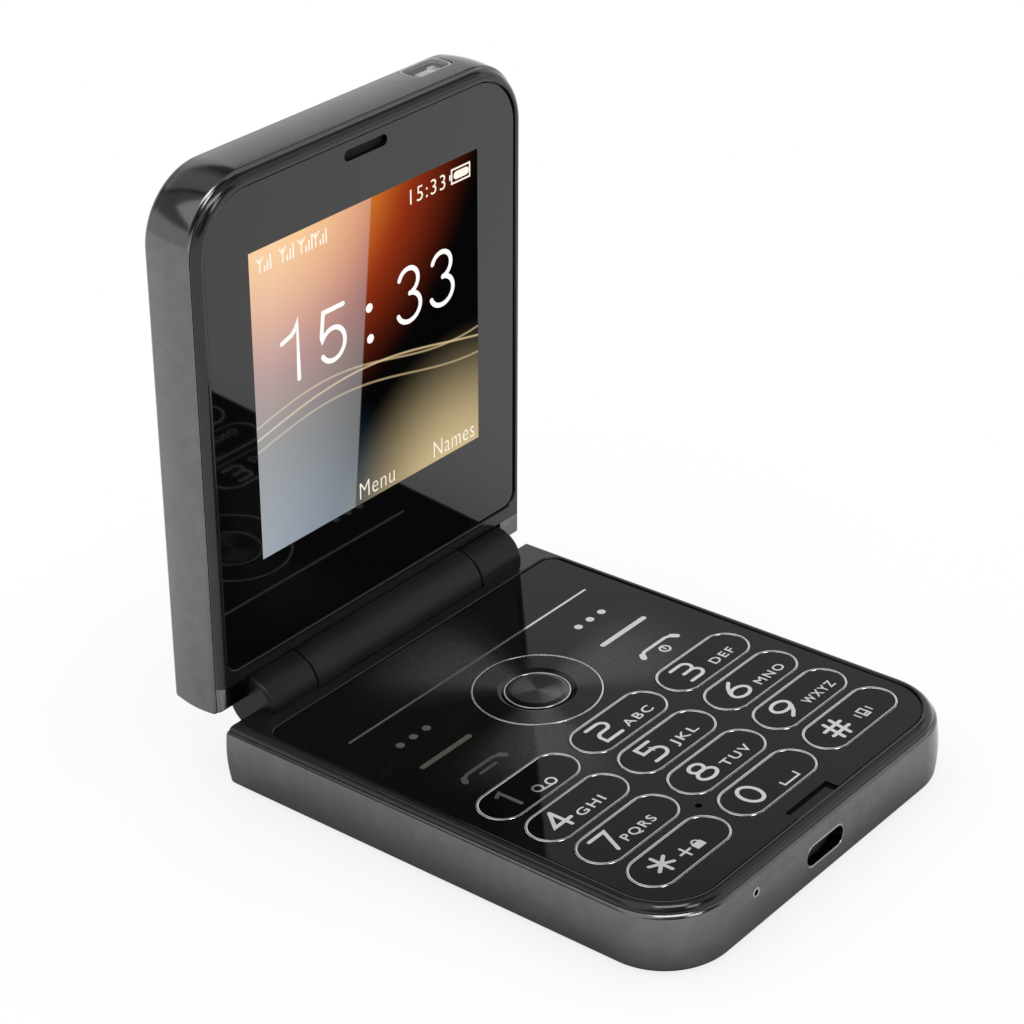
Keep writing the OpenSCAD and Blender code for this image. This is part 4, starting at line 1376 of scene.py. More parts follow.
def cap_tree() -> GrowTree:
    """Builds the tree for a pill-shaped cap: upright wall, rounded edge and flat top.

    Returns:
        The tree.
    """
    grow = GrowTree("pill_cap", {
        "Width": (FLOAT, 0.02), "Depth": (FLOAT, 0.008), "Foot": (FLOAT, 0.0),
        "Top": (FLOAT, 0.001), "Edge": (FLOAT, 0.0002), "Steps": (WHOLE, 22),
        "Points": (WHOLE, 8), "Material": (MATERIAL, None)})
    pen, given = grow.pen, grow.given
    path = pill_path(pen, given["Width"], given["Depth"], given["Steps"])
    line = pen.node("GeometryNodeCurvePrimitiveLine")
    spaced = pen.node("GeometryNodeResampleCurve", {0: line,
                                                    "Count": given["Points"]})
    index = pen.node("GeometryNodeInputIndex")
    share = pen.math("DIVIDE", pen.less(index, 1.0), pen.less(given["Points"], 2.0), clamp=True)
    turn = pen.times(share, math.pi / 2)
    across = pen.times(pen.less(1.0, pen.math("COSINE", turn)),
                      given["Edge"])
    drop = pen.times(pen.less(1.0, pen.math("SINE", turn)),
                    given["Edge"])
    up = pen.math("GREATER_THAN", index, 0.5)
    height = pen.plus(pen.times(up, pen.less(given["Top"], drop)),
                      pen.times(pen.less(1.0, up), given["Foot"]))
    spot = pen.node("ShaderNodeCombineXYZ", {
        0: pen.times(across, -1.0), 1: pen.times(height, -1.0), 2: 0.0})
    profile = pen.node("GeometryNodeSetPosition", {0: spaced,
                                                   "Position": spot})
    whole = pen.node("GeometryNodeJoinGeometry")
    swept = pen.node("GeometryNodeCurveToMesh", {0: path, 1: profile})
    pen.tree.links.new(swept.outputs[0], whole.inputs[0])
    inset = pen.times(given["Edge"], 2.0)
    for level, by in (("Top", inset), ("Foot", 0.0)):
        edge = pill_path(pen, pen.less(given["Width"], by),
                         pen.less(given["Depth"], by), given["Steps"])
        face = pen.node("GeometryNodeFillCurve", {0: edge}, mode="NGONS")
        lift = pen.node("ShaderNodeCombineXYZ", {2: given[level]})
        placed = pen.node("GeometryNodeTransform", {0: face,
                                                    "Translation": lift})
        if level == "Foot":
            placed = pen.node("GeometryNodeFlipFaces", {0: placed})
        pen.tree.links.new(placed.outputs[0], whole.inputs[0])
    shell = pen.node("GeometryNodeMergeByDistance", {0: whole,
                                                     "Distance": 0.015 * MM})
    grow.end(shell)
    return grow


def row_tree() -> GrowTree:
    """Builds the tree for a row of equal round-ended bars or dots along x.

    Returns:
        The tree.
    """
    grow = GrowTree("pill_row", {
        "Count": (WHOLE, 3), "Pitch": (FLOAT, 0.003), "Width": (FLOAT, 0.001),
        "Depth": (FLOAT, 0.001), "Rise": (FLOAT, 0.00005), "Height": (FLOAT, 0.0),
        "Material": (MATERIAL, None)})
    pen, given = grow.pen, grow.given
    path = pill_path(pen, given["Width"], given["Depth"], 12)
    face = pen.node("GeometryNodeFillCurve", {0: path}, mode="NGONS")
    solid = pen.node("GeometryNodeExtrudeMesh", {0: face,
                                                 "Offset Scale": given["Rise"]})
    whole = pen.node("GeometryNodeJoinGeometry")
    pen.tree.links.new(pen.node("GeometryNodeFlipFaces", {0: face.outputs[0]}).outputs[0],
                       whole.inputs[0])
    pen.tree.links.new(solid.outputs[0], whole.inputs[0])
    shut = pen.node("GeometryNodeMergeByDistance", {0: whole,
                                                    "Distance": 0.001 * MM})
    half = pen.times(pen.times(pen.less(given["Count"], 1.0), given["Pitch"]), -0.5)
    start = pen.node("ShaderNodeCombineXYZ", {0: half, 2: given["Height"]})
    step = pen.node("ShaderNodeCombineXYZ", {0: given["Pitch"]})
    points = pen.node("GeometryNodeMeshLine", {
        "Count": given["Count"], "Start Location": start,
        "Offset": step})
    placed = pen.node("GeometryNodeInstanceOnPoints", {0: points,
                                                       "Instance": shut})
    grow.end(placed)
    return grow


def weave_tree() -> GrowTree:
    """Builds the tree for a flat weave of wires that cross over and under.

    Returns:
        The tree.
    """
    grow = GrowTree("wire_weave", {
        "Width": (FLOAT, 0.01), "Depth": (FLOAT, 0.003), "Count": (WHOLE, 30),
        "Rows": (WHOLE, 10), "Wire": (FLOAT, 0.00005), "Material": (MATERIAL, None)})
    pen, given = grow.pen, grow.given
    both = pen.node("GeometryNodeJoinGeometry")
    ring = pen.node("GeometryNodeCurvePrimitiveCircle",
                    {"Resolution": 5, "Radius": given["Wire"]})
    for long_way, count_name, other_name in (("Width", "Rows", "Count"),
                                             ("Depth", "Count", "Rows")):
        is_wide = long_way == "Width"
        half = pen.times(given[long_way], 0.5)
        back = pen.times(half, -1.0)
        ends = [pen.node("ShaderNodeCombineXYZ", {0 if is_wide else 1: value}).outputs[0]
                for value in (back, half)]
        line = pen.node("GeometryNodeCurvePrimitiveLine", {"Start": ends[0], "End": ends[1]})
        wire = pen.node("GeometryNodeCurveToMesh", {0: line, 1: ring,
                                                    "Fill Caps": True})
        side = given["Depth" if is_wide else "Width"]
        step = pen.math("DIVIDE", side, given[count_name])
        first = pen.plus(pen.times(side, -0.5), pen.times(step, 0.5))
        lift = pen.times(given["Wire"], 0.8 if is_wide else -0.8)
        start = pen.node("ShaderNodeCombineXYZ", {1 if is_wide else 0: first, 2: lift})
        offset = pen.node("ShaderNodeCombineXYZ", {1 if is_wide else 0: step})
        points = pen.node("GeometryNodeMeshLine", {
            "Count": given[count_name], "Start Location": start,
            "Offset": offset})
        placed = pen.node("GeometryNodeInstanceOnPoints", {0: points,
                                                           "Instance": wire})
        pen.tree.links.new(placed.outputs[0], both.inputs[0])
    grow.end(both)
    return grow


TREES = {"bead": bead_tree(), "cap": cap_tree(), "row": row_tree(), "weave": weave_tree()}


def place_mesh(obj: Thing, matrix: Matrix) -> Thing:
    """Moves an object's mesh into place and leaves the object at the origin.

    Args:
        obj: the object.
        matrix: its place.

    Returns:
        The same object.
    """
    obj.data.transform(matrix)
    if matrix.determinant() < 0:
        obj.data.flip_normals()
    return obj


def merge(name: str, parts: Sequence[Thing]) -> Thing:
    """Joins several objects with one finish into one mesh object.

    Args:
        name: the new object's name.
        parts: the objects, which are used up.

    Returns:
        The one object.
    """
    bm = bmesh.new()
    material = parts[0].data.materials[0] if parts[0].data.materials else None
    for part in parts:
        bm.from_mesh(part.data)
        bpy.data.objects.remove(part)
    made = new_object(name, bm)
    if material:
        made.data.materials.append(material)
    return made


# printed marks


def lettering(characters: str, depth: float, bold: float, spacing: float) -> Thing:
    """Makes a mesh of plain characters, drawn one unit tall.

    Args:
        characters: what it says.
        depth: half of its thickness.
        bold: how much each stroke is widened on either side.
        spacing: spacing of the characters as a share of the usual one.

    Returns:
        The characters as a mesh.
    """
    curve = bpy.data.curves.new("mark", "FONT")
    curve.body, curve.size, curve.extrude, curve.offset = characters, 1.0, depth, bold
    curve.space_character, curve.resolution_u = spacing, 8
    made = bpy.data.objects.new("mark", curve)
    bpy.context.scene.collection.objects.link(made)
    return settle(made)


class Marks:
    """Flat printed marks, a little proud of their surface and measured in millimetres."""

    layer = 0.0007 * MM
    layers_end = 0.006 * MM
    cap_share = 0.7

    def __init__(self, rise: float, z: float = 0.0, origin: Vector | None = None) -> None:
        """Starts a set of marks.

        Args:
            rise: height of the print above its surface.
            z: height of the surface, in metres.
            origin: the place that the marks are measured from, in metres.
        """
        self.rise, self.z = rise * MM, z
        self.origin = origin or Vector((0, 0, 0))
        self.step = 0.0
        self.parts: list[Thing] = []

    def stroke(self, points: Profile, width: float) -> None:
        """Draws a flat line with round ends, which closes if it ends where it starts.

        Each mark is a hair higher than the one before, so that no two tops agree.

        Args:
            points: the line's points.
            width: its width, or 0 to fill the shape that it goes round.
        """
        closed = math.dist(points[0], points[-1]) < 1e-6
        spots = [Vector((self.origin.x + x * MM, self.origin.y + y * MM, 0))
                 for x, y in (points[:-1] if closed else points)]
        corners, faces = (ribbon(spots, width / 2 * MM, closed) if width
                          else (spots, [tuple(range(len(spots)))]))
        self.step = (self.step + self.layer) % self.layers_end
        self.parts.append(new_object("mark", slab(
            corners, faces, self.z - self.rise, self.z + self.rise + self.step)))

    def figure(self, lines: Sequence[Profile], centre: tuple[float, float],
               size: tuple[float, float], width: float) -> None:
        """Draws a figure of even strokes.

        Args:
            lines: its lines, whose points run from -1 to 1 both ways.
            centre: its middle.
            size: its whole width and height.
            width: width of its strokes.
        """
        across, up = ((whole - width) / 2 for whole in size)
        for line in lines:
            self.stroke([(centre[0] + x * across, centre[1] + y * up) for x, y in line], width)

    def text(self, body: str, cap: float, centre: tuple[float, float], width: float,
             bold: float, spacing: float) -> None:
        """Writes a line of plain characters.

        Args:
            body: the characters.
            cap: the height of a capital letter.
            centre: the middle of the line.
            width: the line's whole width.
            bold: how much each stroke is widened on either side.
            spacing: spacing of the characters as a share of the usual one.
        """
        spread = bold / cap * self.cap_share
        gauge = lettering("H", 0.0, spread, spacing)
        scale = cap * MM / max(v.co.y for v in gauge.data.vertices)
        bpy.data.objects.remove(gauge)
        mark = lettering(body, self.rise / scale, spread, spacing)
        xs, ys = zip(*(v.co.xy for v in mark.data.vertices))
        middle = Matrix.Translation((-(min(xs) + max(xs)) / 2, -(min(ys) + max(ys)) / 2, 0))
        place = Matrix.Translation((self.origin.x + centre[0] * MM,
                                    self.origin.y + centre[1] * MM, self.z))
        size = Matrix.Diagonal((width * MM / (max(xs) - min(xs)), scale, scale, 1))
        self.parts.append(place_mesh(mark, place @ size @ middle))

    def finish(self, name: str, body: Body | str, material: Material, slot: str,
               matrix: Matrix | None = None) -> Thing:
        """Joins the marks into one piece.

        Args:
            name: the piece's name.
            body: the body that it rides on.
            material: the ink.
            slot: the record's slot of the surface that it is printed on; not used.
            matrix: the place of the surface, if the marks are drawn flat.

        Returns:
            The piece.
        """
        made = merge(name, self.parts)
        self.parts = []
        if matrix:
            place_mesh(made, matrix)
        return piece(made, body, material)


# keypad half


@dataclass
class KeypadCase:
    """The keypad half's metal band, black rim, knuckles, back cover and port."""

    case: Case
    hinge: Hinge
    palette: Palette
    band_top: float = 9.95 * MM
    rim_top: float = 11.2 * MM
    panel_bot: float = 10.1 * MM
    ledge: float = 0.9 * MM
    port_x: float = -1.7 * MM
    port_z: float = 5.5 * MM
    port_w: float = 9.3 * MM
    port_h: float = 3.4 * MM
    hole_x: float = -18.65 * MM
    hole_z: float = 7.2 * MM
    hole_r: float = 0.55 * MM

    def build(self) -> None:
        """Builds every piece of the keypad half's case."""
        self.band()
        self.rim()
        self.knuckles()
        self.back_cover()
        self.port()

    def band(self) -> None:
        """The plated band with its port, microphone hole and hinge cut-outs."""
        hinge = self.hinge
        band = new_object("base_band", case_band(self.case, self.band_top))
        for x, z, width, depth in self.openings():
            hole = prism(pill_outline(width, depth), -4 * MM, 4 * MM)
            cut(band, moved(hole, self.case.front(x, z)))
        cut(band, hinge.cutter(hinge.clear_r, hinge.knuckle_start, hinge.z))
        cut(band, hinge.cutter(hinge.barrel_r + 0.05 * MM, hinge.knuckle_end + 0.05 * MM,
                               hinge.z))
        piece(band, Body.BASE, self.palette.plating, ["base_frame"])

    def openings(self) -> tuple[tuple[float, float, float, float], ...]:
        """Place, width and height of the port and of the microphone hole."""
        return ((self.port_x, self.port_z, self.port_w, self.port_h),
                (self.hole_x, self.hole_z, 2 * self.hole_r, 2 * self.hole_r))

    def rim(self) -> None:
        """The glossy rim with its rounded lip, the flat round the panel and the trough."""
        hinge = self.hinge
        rings = rim_rings(self.case, self.rim_top, self.panel_bot, self.ledge)
        rim = new_object("keypad_rim", skin(rings, closed=True))
        cut(rim, hinge.cutter(hinge.clear_r, hinge.knuckle_start, hinge.z))
        trough = hinge.lining("barrel_trough", 200, 52, 24, hinge.knuckle_start, hinge.z)
        piece(rim, Body.BASE, self.palette.rim, ["keypad_deck"])
        piece(trough, Body.BASE, self.palette.rim)

    def knuckles(self) -> None:
        """The two outer knuckles of the hinge."""
        for side, name in ((-1, "knuckle_left"), (1, "knuckle_right")):
            place = self.hinge.axis(self.hinge.z) @ Matrix.Diagonal((side, 1, 1, 1))
            piece(new_object(name, moved(knuckle_shape(self.hinge), place)), Body.BASE,
                  self.palette.barrel)

    def back_cover(self) -> None:
        """The textured back cover, with the loudspeaker's slots and a nail notch."""
        cover = self.case.cover_sheet("base_cover")
        low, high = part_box("loudspeaker")
        middle = (low + high) / 2
        slots = [moved(prism(pill_outline(7 * MM, 1.2 * MM), -1 * MM, 3 * MM),
                       Matrix.Translation((middle.x + k * 2.4 * MM, middle.y, 0))
                       @ Matrix.Rotation(math.radians(90), 4, "Z")) for k in range(-2, 3)]
        cut(cover, joined(slots))
        notch = prism(pill_outline(11 * MM, 2.6 * MM), -0.5 * MM, 0.6 * MM)
        cut(cover, moved(notch, Matrix.Translation((0, self.case.y_free + 5 * MM, 0))))
        piece(cover, Body.BASE, self.palette.cover, ["back_cover"])

    def port(self) -> None:
        """The bright chamfers of the port and the microphone hole, and the port's contacts."""
        rise, sink, inward = 0.07 * MM, -0.03 * MM, 0.06 * MM
        for name, width, (x, z, w, h) in zip(("port_trim", "mic_hole_trim"),
                                             (0.34 * MM, 0.38 * MM), self.openings()):
            ring = TREES["bead"].grow(
                name, width=w + width * 0.5, depth=h + width * 0.5, bead=width, rise=rise,
                height=sink, steps=20, material=self.palette.cut_metal)
            place_mesh(ring, Matrix.Translation((0, inward, 0)) @ self.case.front(x, z))
            piece(ring, Body.BASE, None)
        low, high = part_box("charging_port_tongue")
        strips = TREES["row"].grow("port_contacts", count=5, pitch=1.15 * MM, width=0.5 * MM,
                                   depth=3.6 * MM, rise=0.04 * MM, height=0.0,
                                   material=self.palette.gold)
        place_mesh(strips, Matrix.Translation(((low.x + high.x) / 2, low.y + 2.1 * MM, high.z)))
        piece(strips, Body.BASE, None)


def case_band(case: Case, top: float) -> Shape:
    """Makes a closed plated band: rounded foot, crowned side and bright bevel.

    Args:
        case: the case's sizes.
        top: height of the band's top.

    Returns:
        The closed band.
    """
    foot = 0.24 * MM
    across, down = case.bevel
    low, high = foot + case.edge_round, top - down
    crown_steps = 14
    side = [(case.crown * (1 - 4 * u * (1 - u)), low + u * (high - low))
            for u in (i / crown_steps for i in range(1, crown_steps))]
    profile = (
        [(case.wall, foot)]
        + arc(case.crown + case.edge_round, low, case.edge_round, case.edge_round,
              270, 180, 12)
        + side
        + [(case.crown * 0.95, high - 0.07 * MM)]
        + blunt(case.crown, high, across, down, 8, 0.3)
        + [(case.wall, top)])
    return skin([lifted(case.outline(x), z) for x, z in profile], closed=True)


def blunt(inset: float, low: float, across: float, up: float, steps: int,
          bulge: float) -> Profile:
    """Draws an edge from a wall to a top, between a flat chamfer (0) and a round (1).

    Args:
        inset: how far in the wall is.
        low: where the edge starts.
        across: how far in it goes.
        up: how far up it goes.
        steps: number of its segments.
        bulge: its roundness.

    Returns:
        Pairs of (inset, height).
    """
    curve = arc(inset + across, low, across, up, 180, 90, steps)
    return [(a * bulge + (inset + across * i / steps) * (1 - bulge),
             b * bulge + (low + up * i / steps) * (1 - bulge))
            for i, (a, b) in enumerate(curve)]


def lip_profile(case: Case, top: float, steps: int) -> Profile:
    """The section of a black rim's lip: a short wall and a slope that rounds into the flat.

    Args:
        case: the case's sizes.
        top: the rim's top.
        steps: segments of the slope.

    Returns:
        Pairs of (inset, height).
    """
    wall = 0.12 * MM
    low = top - case.rim_height + case.rim_seam
    return [(case.rim_in, low)] + blunt(case.rim_in, low + wall, case.lip_over,
                                        top - low - wall, steps, 0.5)


def rim_rings(case: Case, top: float, panel_bot: float, ledge: float) -> list[Ring]:
    """The rings of a black rim: wall, rounded lip, flat, opening and ledge.

    Args:
        case: the case's sizes.
        top: the rim's top.
        panel_bot: height of the ledge.
        ledge: its width and thickness.

    Returns:
        The rings, in order round the section.
    """
    low = top - case.rim_height + case.rim_seam
    rings = [lifted(case.outline(x), z) for x, z in lip_profile(case, top, 14)]
    seam, edge = 0.07 * MM, 0.2 * MM
    for i in range(5):
        a = math.radians(90 * i / 4)
        rings.append(lifted(case.panel_outline(seam + edge * (1 - math.sin(a))),
                            top - edge * (1 - math.cos(a))))
    rings += [lifted(case.panel_outline(seam), panel_bot),
              lifted(case.panel_outline(-ledge), panel_bot),
              lifted(case.panel_outline(-ledge), panel_bot - ledge),
              lifted(case.outline(case.wall), panel_bot - ledge),
              lifted(case.outline(case.wall), low)]
    return rings


def knuckle_shape(hinge: Hinge) -> Shape:
    """Turns a knuckle with a fine inner edge and a rounded outer end, towards +x.

    Args:
        hinge: the hinge's sizes.

    Returns:
        The knuckle.
    """
    inner, outer = 0.12 * MM, 0.7 * MM
    r = hinge.barrel_r
    profile = [(hinge.knuckle_start, r - inner), (hinge.knuckle_start + inner, r)]
    profile += [(hinge.knuckle_end - outer * (1 - math.sin(a)), r - outer * (1 - math.cos(a)))
                for a in (math.radians(90 * i / 8) for i in range(9))]
    return turned(profile)


@dataclass
class Keypad:
    """The glossy panel, its printed marks, the twelve keys, the ring and the button."""

    case: Case
    palette: Palette
    panel_top: float = 11.0 * MM
    panel_bot: float = 10.1 * MM
    key_w: float = 19.64 * MM
    key_d: float = 7.7 * MM
    pitch_x: float = 21.38 * MM
    pitch_y: float = 9.1 * MM
    last_row: float = -32.13 * MM
    key_gap: float = 0.1 * MM
    key_rise: float = 0.1 * MM
    nav_r: float = 10.27 * MM
    ok_r: float = 5.25 * MM
    mic: tuple[float, float] = (-10.69 * MM, -27.58 * MM)
    legends: tuple[tuple[str, str, float, str, float, float], ...] = (
        ("key_1", "1", -4.2, "", 0, 0), ("key_2", "2", -3.4, "ABC", -0.2, 6.2),
        ("key_3", "3", -3.7, "DEF", 0.6, 5.9), ("key_4", "4", -4.2, "GHI", -1.4, 4.2),
        ("key_5", "5", -3.4, "JKL", -0.1, 5.7), ("key_6", "6", -3.7, "MNO", -0.2, 6.4),
        ("key_7", "7", -4.2, "PQRS", -2.4, 4.55), ("key_8", "8", -3.4, "TUV", -0.2, 6.2),
        ("key_9", "9", -3.7, "WXYZ", -0.5, 6.8), ("key_star", "", 0, "", 0, 0),
        ("key_0", "0", -4.1, "", 0, 0), ("key_hash", "", 0, "", 0, 0))

    def build(self) -> None:
        """Builds the panel and everything in it."""
        self.panel()
        self.panel_marks()
        for index, legend in enumerate(self.legends):
            centre = self.key_centre(index)
            self.cap(legend[0], centre)
            self.legend(*legend, centre)
        self.ring()
        self.button()

    def key_centre(self, index: int) -> Vector:
        """The middle of a key, counted along the rows from the first."""
        column, row = index % 3, index // 3
        return Vector(((column - 1) * self.pitch_x, self.last_row + (3 - row) * self.pitch_y, 0))

    def panel(self) -> None:
        """The panel with its holes and the finger notch at the free end."""
        panel = new_object("keypad_sheet", prism(
            self.case.panel_outline(-self.case.glass_in), self.panel_bot, self.panel_top,
            0.1 * MM, False))
        low, high = self.panel_bot - 1 * MM, self.panel_top + 1 * MM
        pills = [moved(prism(pill_outline(self.key_w + 2 * self.key_gap,
                                          self.key_d + 2 * self.key_gap, 24), low, high),
                       Matrix.Translation(self.key_centre(i))) for i in range(12)]
        wide = 2 * (self.nav_r + self.key_gap)
        ring = moved(prism(pill_outline(wide, wide, 64), low, high), Matrix.Translation(NAV))
        hole = moved(prism(pill_outline(1.1 * MM, 1.1 * MM), low, high),
                     Matrix.Translation((*self.mic, 0)))
        cut(panel, joined(pills + [ring, hole]))
        cut(panel, self.notch())
        piece(panel, Body.BASE, self.palette.panel, ["keypad_panel"])

    def notch(self) -> Shape:
        """The cutter of the finger notch: a shallow tray with upright sides.

        Returns:
            The cutter.
        """
        y0, y1 = self.case.panel_y0 - 1 * MM, self.case.panel_y0 + 2.4 * MM
        floor, top = self.panel_top - 0.55 * MM, self.panel_top + 0.3 * MM
        left, right, slope = -5.0 * MM, 5.3 * MM, 0.05 * MM
        rings = [[Vector((left + d, y0, z)), Vector((right - d, y0, z)),
                  Vector((right - d, y1 - d, z)), Vector((left + d, y1 - d, z))]
                 for z, d in ((floor, slope), (self.panel_top, 0.0), (top, 0.0))]
        return skin(rings)

    def panel_marks(self) -> None:
        """The line, dots, bars and call symbols that are printed on the panel."""
        marks = Marks(0.03, self.panel_top)
        marks.stroke([(-28.3, 24.2), (28.3, 24.2)], 0.42)
        for side in (-1, 1):
            for x, y, count, pitch, width, depth in (
                    (21.35, 17.6, 3, 2.95, 1.4, 1.399), (21.5, 10.95, 1, 0.0, 11.4, 0.95)):
                row = TREES["row"].grow("row", count=count, pitch=pitch * MM,
                                        width=width * MM, depth=depth * MM, rise=0.03 * MM,
                                        height=self.panel_top, material=self.palette.ink)
                marks.parts.append(place_mesh(
                    row, Matrix.Translation((side * x * MM, y * MM, 0))))
        self.handset(marks, -26.0, -16.9)
        marks.stroke([(-22.9, 3.0), (-19.4, 3.05)], 0.5)
        self.handset(marks, 16.9, 25.4)
        marks.stroke(oval(21.2, 2.45, 0.85, 0.85), 0.36)
        marks.stroke([(21.2, 2.95), (21.2, 2.3)], 0.32)
        marks.finish("panel_marks", Body.BASE, self.palette.ink, "panel_gloss_black")

    def handset(self, marks: Marks, left: float, right: float) -> None:
        """Draws a plain handset, lying over its two thick ends.

        Args:
            marks: the marks that it belongs to.
            left: its left end, in millimetres.
            right: its right end, in millimetres.
        """
        y, line, ends = 3.85, 0.62, 1.05
        arch = [(0.0, -0.55), (0.5, 0.15), (1.6, 0.6)]
        start = [(left + a, y + b) for a, b in arch]
        end = [(right - a, y + b) for a, b in reversed(arch)]
        marks.stroke(start + end, line)
        marks.stroke(start[:2], ends)
        marks.stroke(end[-2:], ends)

    def cap(self, node: str, centre: Vector) -> None:
        """A key cap and its light outline.

        Args:
            node: the key's node.
            centre: the key's middle.
        """
        top = self.panel_top + self.key_rise
        cap = TREES["cap"].grow(node + "_cap", width=self.key_w, depth=self.key_d,
                                foot=9.5 * MM, top=top, edge=0.12 * MM,
                                material=self.palette.key)
        place_mesh(cap, Matrix.Translation(centre))
        piece(cap, node, None, [node])
        line, lean = 0.44 * MM, 0.057 * MM
        outline = TREES["bead"].grow(node + "_outline", width=self.key_w - line,
                                     depth=self.key_d - line, bead=line, rise=0.09 * MM,
                                     height=0.0, steps=22, material=self.palette.trim)
        place_mesh(outline, Matrix.Translation((centre.x, centre.y, top - 0.02 * MM))
                   @ Matrix.Rotation(math.asin(2 * lean / (self.key_d - line)), 4, "X"))
        piece(outline, node, None)

    def legend(self, node: str, digit: str, digit_x: float, letters: str, left: float,
               right: float, centre: Vector) -> None:
        """The characters on a key: a large figure or sign, and small letters or a symbol.

        Args:
            node: the key's node.
            digit: its figure.
            digit_x: middle of the figure from the key's middle, in millimetres.
            letters: its letters.
            left: start of the letters, in millimetres.
            right: end of the letters, in millimetres.
            centre: the key's middle.
        """
        marks = Marks(0.02, self.panel_top + self.key_rise, centre)
        if digit:
            marks.figure(KEY_FIGURES[digit], (digit_x, 0.15), (4.2, 4.85), 0.62)
        if letters:
            marks.text(letters, 1.65, ((left + right) / 2, -1.25), right - left, 0.035, 1.25)
        for points, width in KEY_SIGNS.get(node, ()):
            marks.stroke(points, width)
        marks.finish(node + "_legend", node, self.palette.ink, "key_gloss_black")

    def disc(self, name: str, radii: Profile, inner: float) -> Thing:
        """Turns a ring or disc of (radius, height) pairs round the navigation centre.

        Args:
            name: its name.
            radii: the pairs, in order.
            inner: radius of its hole, or 0.

        Returns:
            The ring or disc.
        """
        rings = [[NAV + p for p in circle(r, z, 128)] for r, z in radii]
        return new_object(name, skin(rings, closed=bool(inner)))

    def ring(self) -> None:
        """The spun navigation ring, bevelled down to the button, and its light line."""
        top, foot = self.panel_top + 0.05 * MM, 9.1 * MM
        inner, outer, edge = self.ok_r + 0.1 * MM, self.nav_r, 0.1 * MM
        radii = [(inner, foot), (outer, foot), (outer, top - edge),
                 (outer - edge * 0.3, top - edge * 0.3), (outer - edge, top), (6.25 * MM, top),
                 (6.1 * MM, top - 0.02 * MM), (inner + 0.05 * MM, top - 0.38 * MM),
                 (inner, top - 0.45 * MM)]
        piece(self.disc("nav_ring_face", radii, inner), Body.RING, self.palette.ring,
              ["nav_ring"])
        self.line("nav_ring_line", outer - 0.16 * MM, 0.3 * MM, top - 0.015 * MM, Body.RING,
                  "nav_ring_black")

    def line(self, name: str, radius: float, bead: float, z: float, body: Body,
             slot: str) -> None:
        """Lays a light line round the navigation centre.

        Args:
            name: its name.
            radius: the line's radius.
            bead: its width.
            z: its height.
            body: the body that it rides on.
            slot: the record's slot for it; not used.
        """
        line = TREES["bead"].grow(name, width=2 * radius, depth=2 * radius, bead=bead,
                                  rise=0.06 * MM, height=z, steps=48,
                                  material=self.palette.trim)
        place_mesh(line, Matrix.Translation(NAV))
        piece(line, body, None)

    def button(self) -> None:
        """The spun middle button: cupped top, bevel and light edge."""
        top, foot, r = self.panel_top + self.key_rise, 9.2 * MM, self.ok_r
        flat, dish, low = 4.35 * MM, 0.1 * MM, top - 0.28 * MM
        steps = 10
        radii = [(0.4 * MM, foot), (r, foot), (r, low - 0.05 * MM), (r - 0.06 * MM, low),
                 (4.95 * MM, low), (flat + 0.05 * MM, top - 0.01 * MM), (flat, top)]
        radii += [(flat * (1 - i / steps), top - dish * math.sin(math.pi / 2 * i / steps))
                  for i in range(1, steps)]
        radii.append((0.02 * MM, top - dish))
        piece(self.disc("ok_button_face", radii, 0), Body.BUTTON, self.palette.button,
              ["ok_button"])
        self.line("ok_button_line", 5.1 * MM, 0.26 * MM, low + 0.02 * MM, Body.BUTTON,
                  "ok_button_black")


# screen half


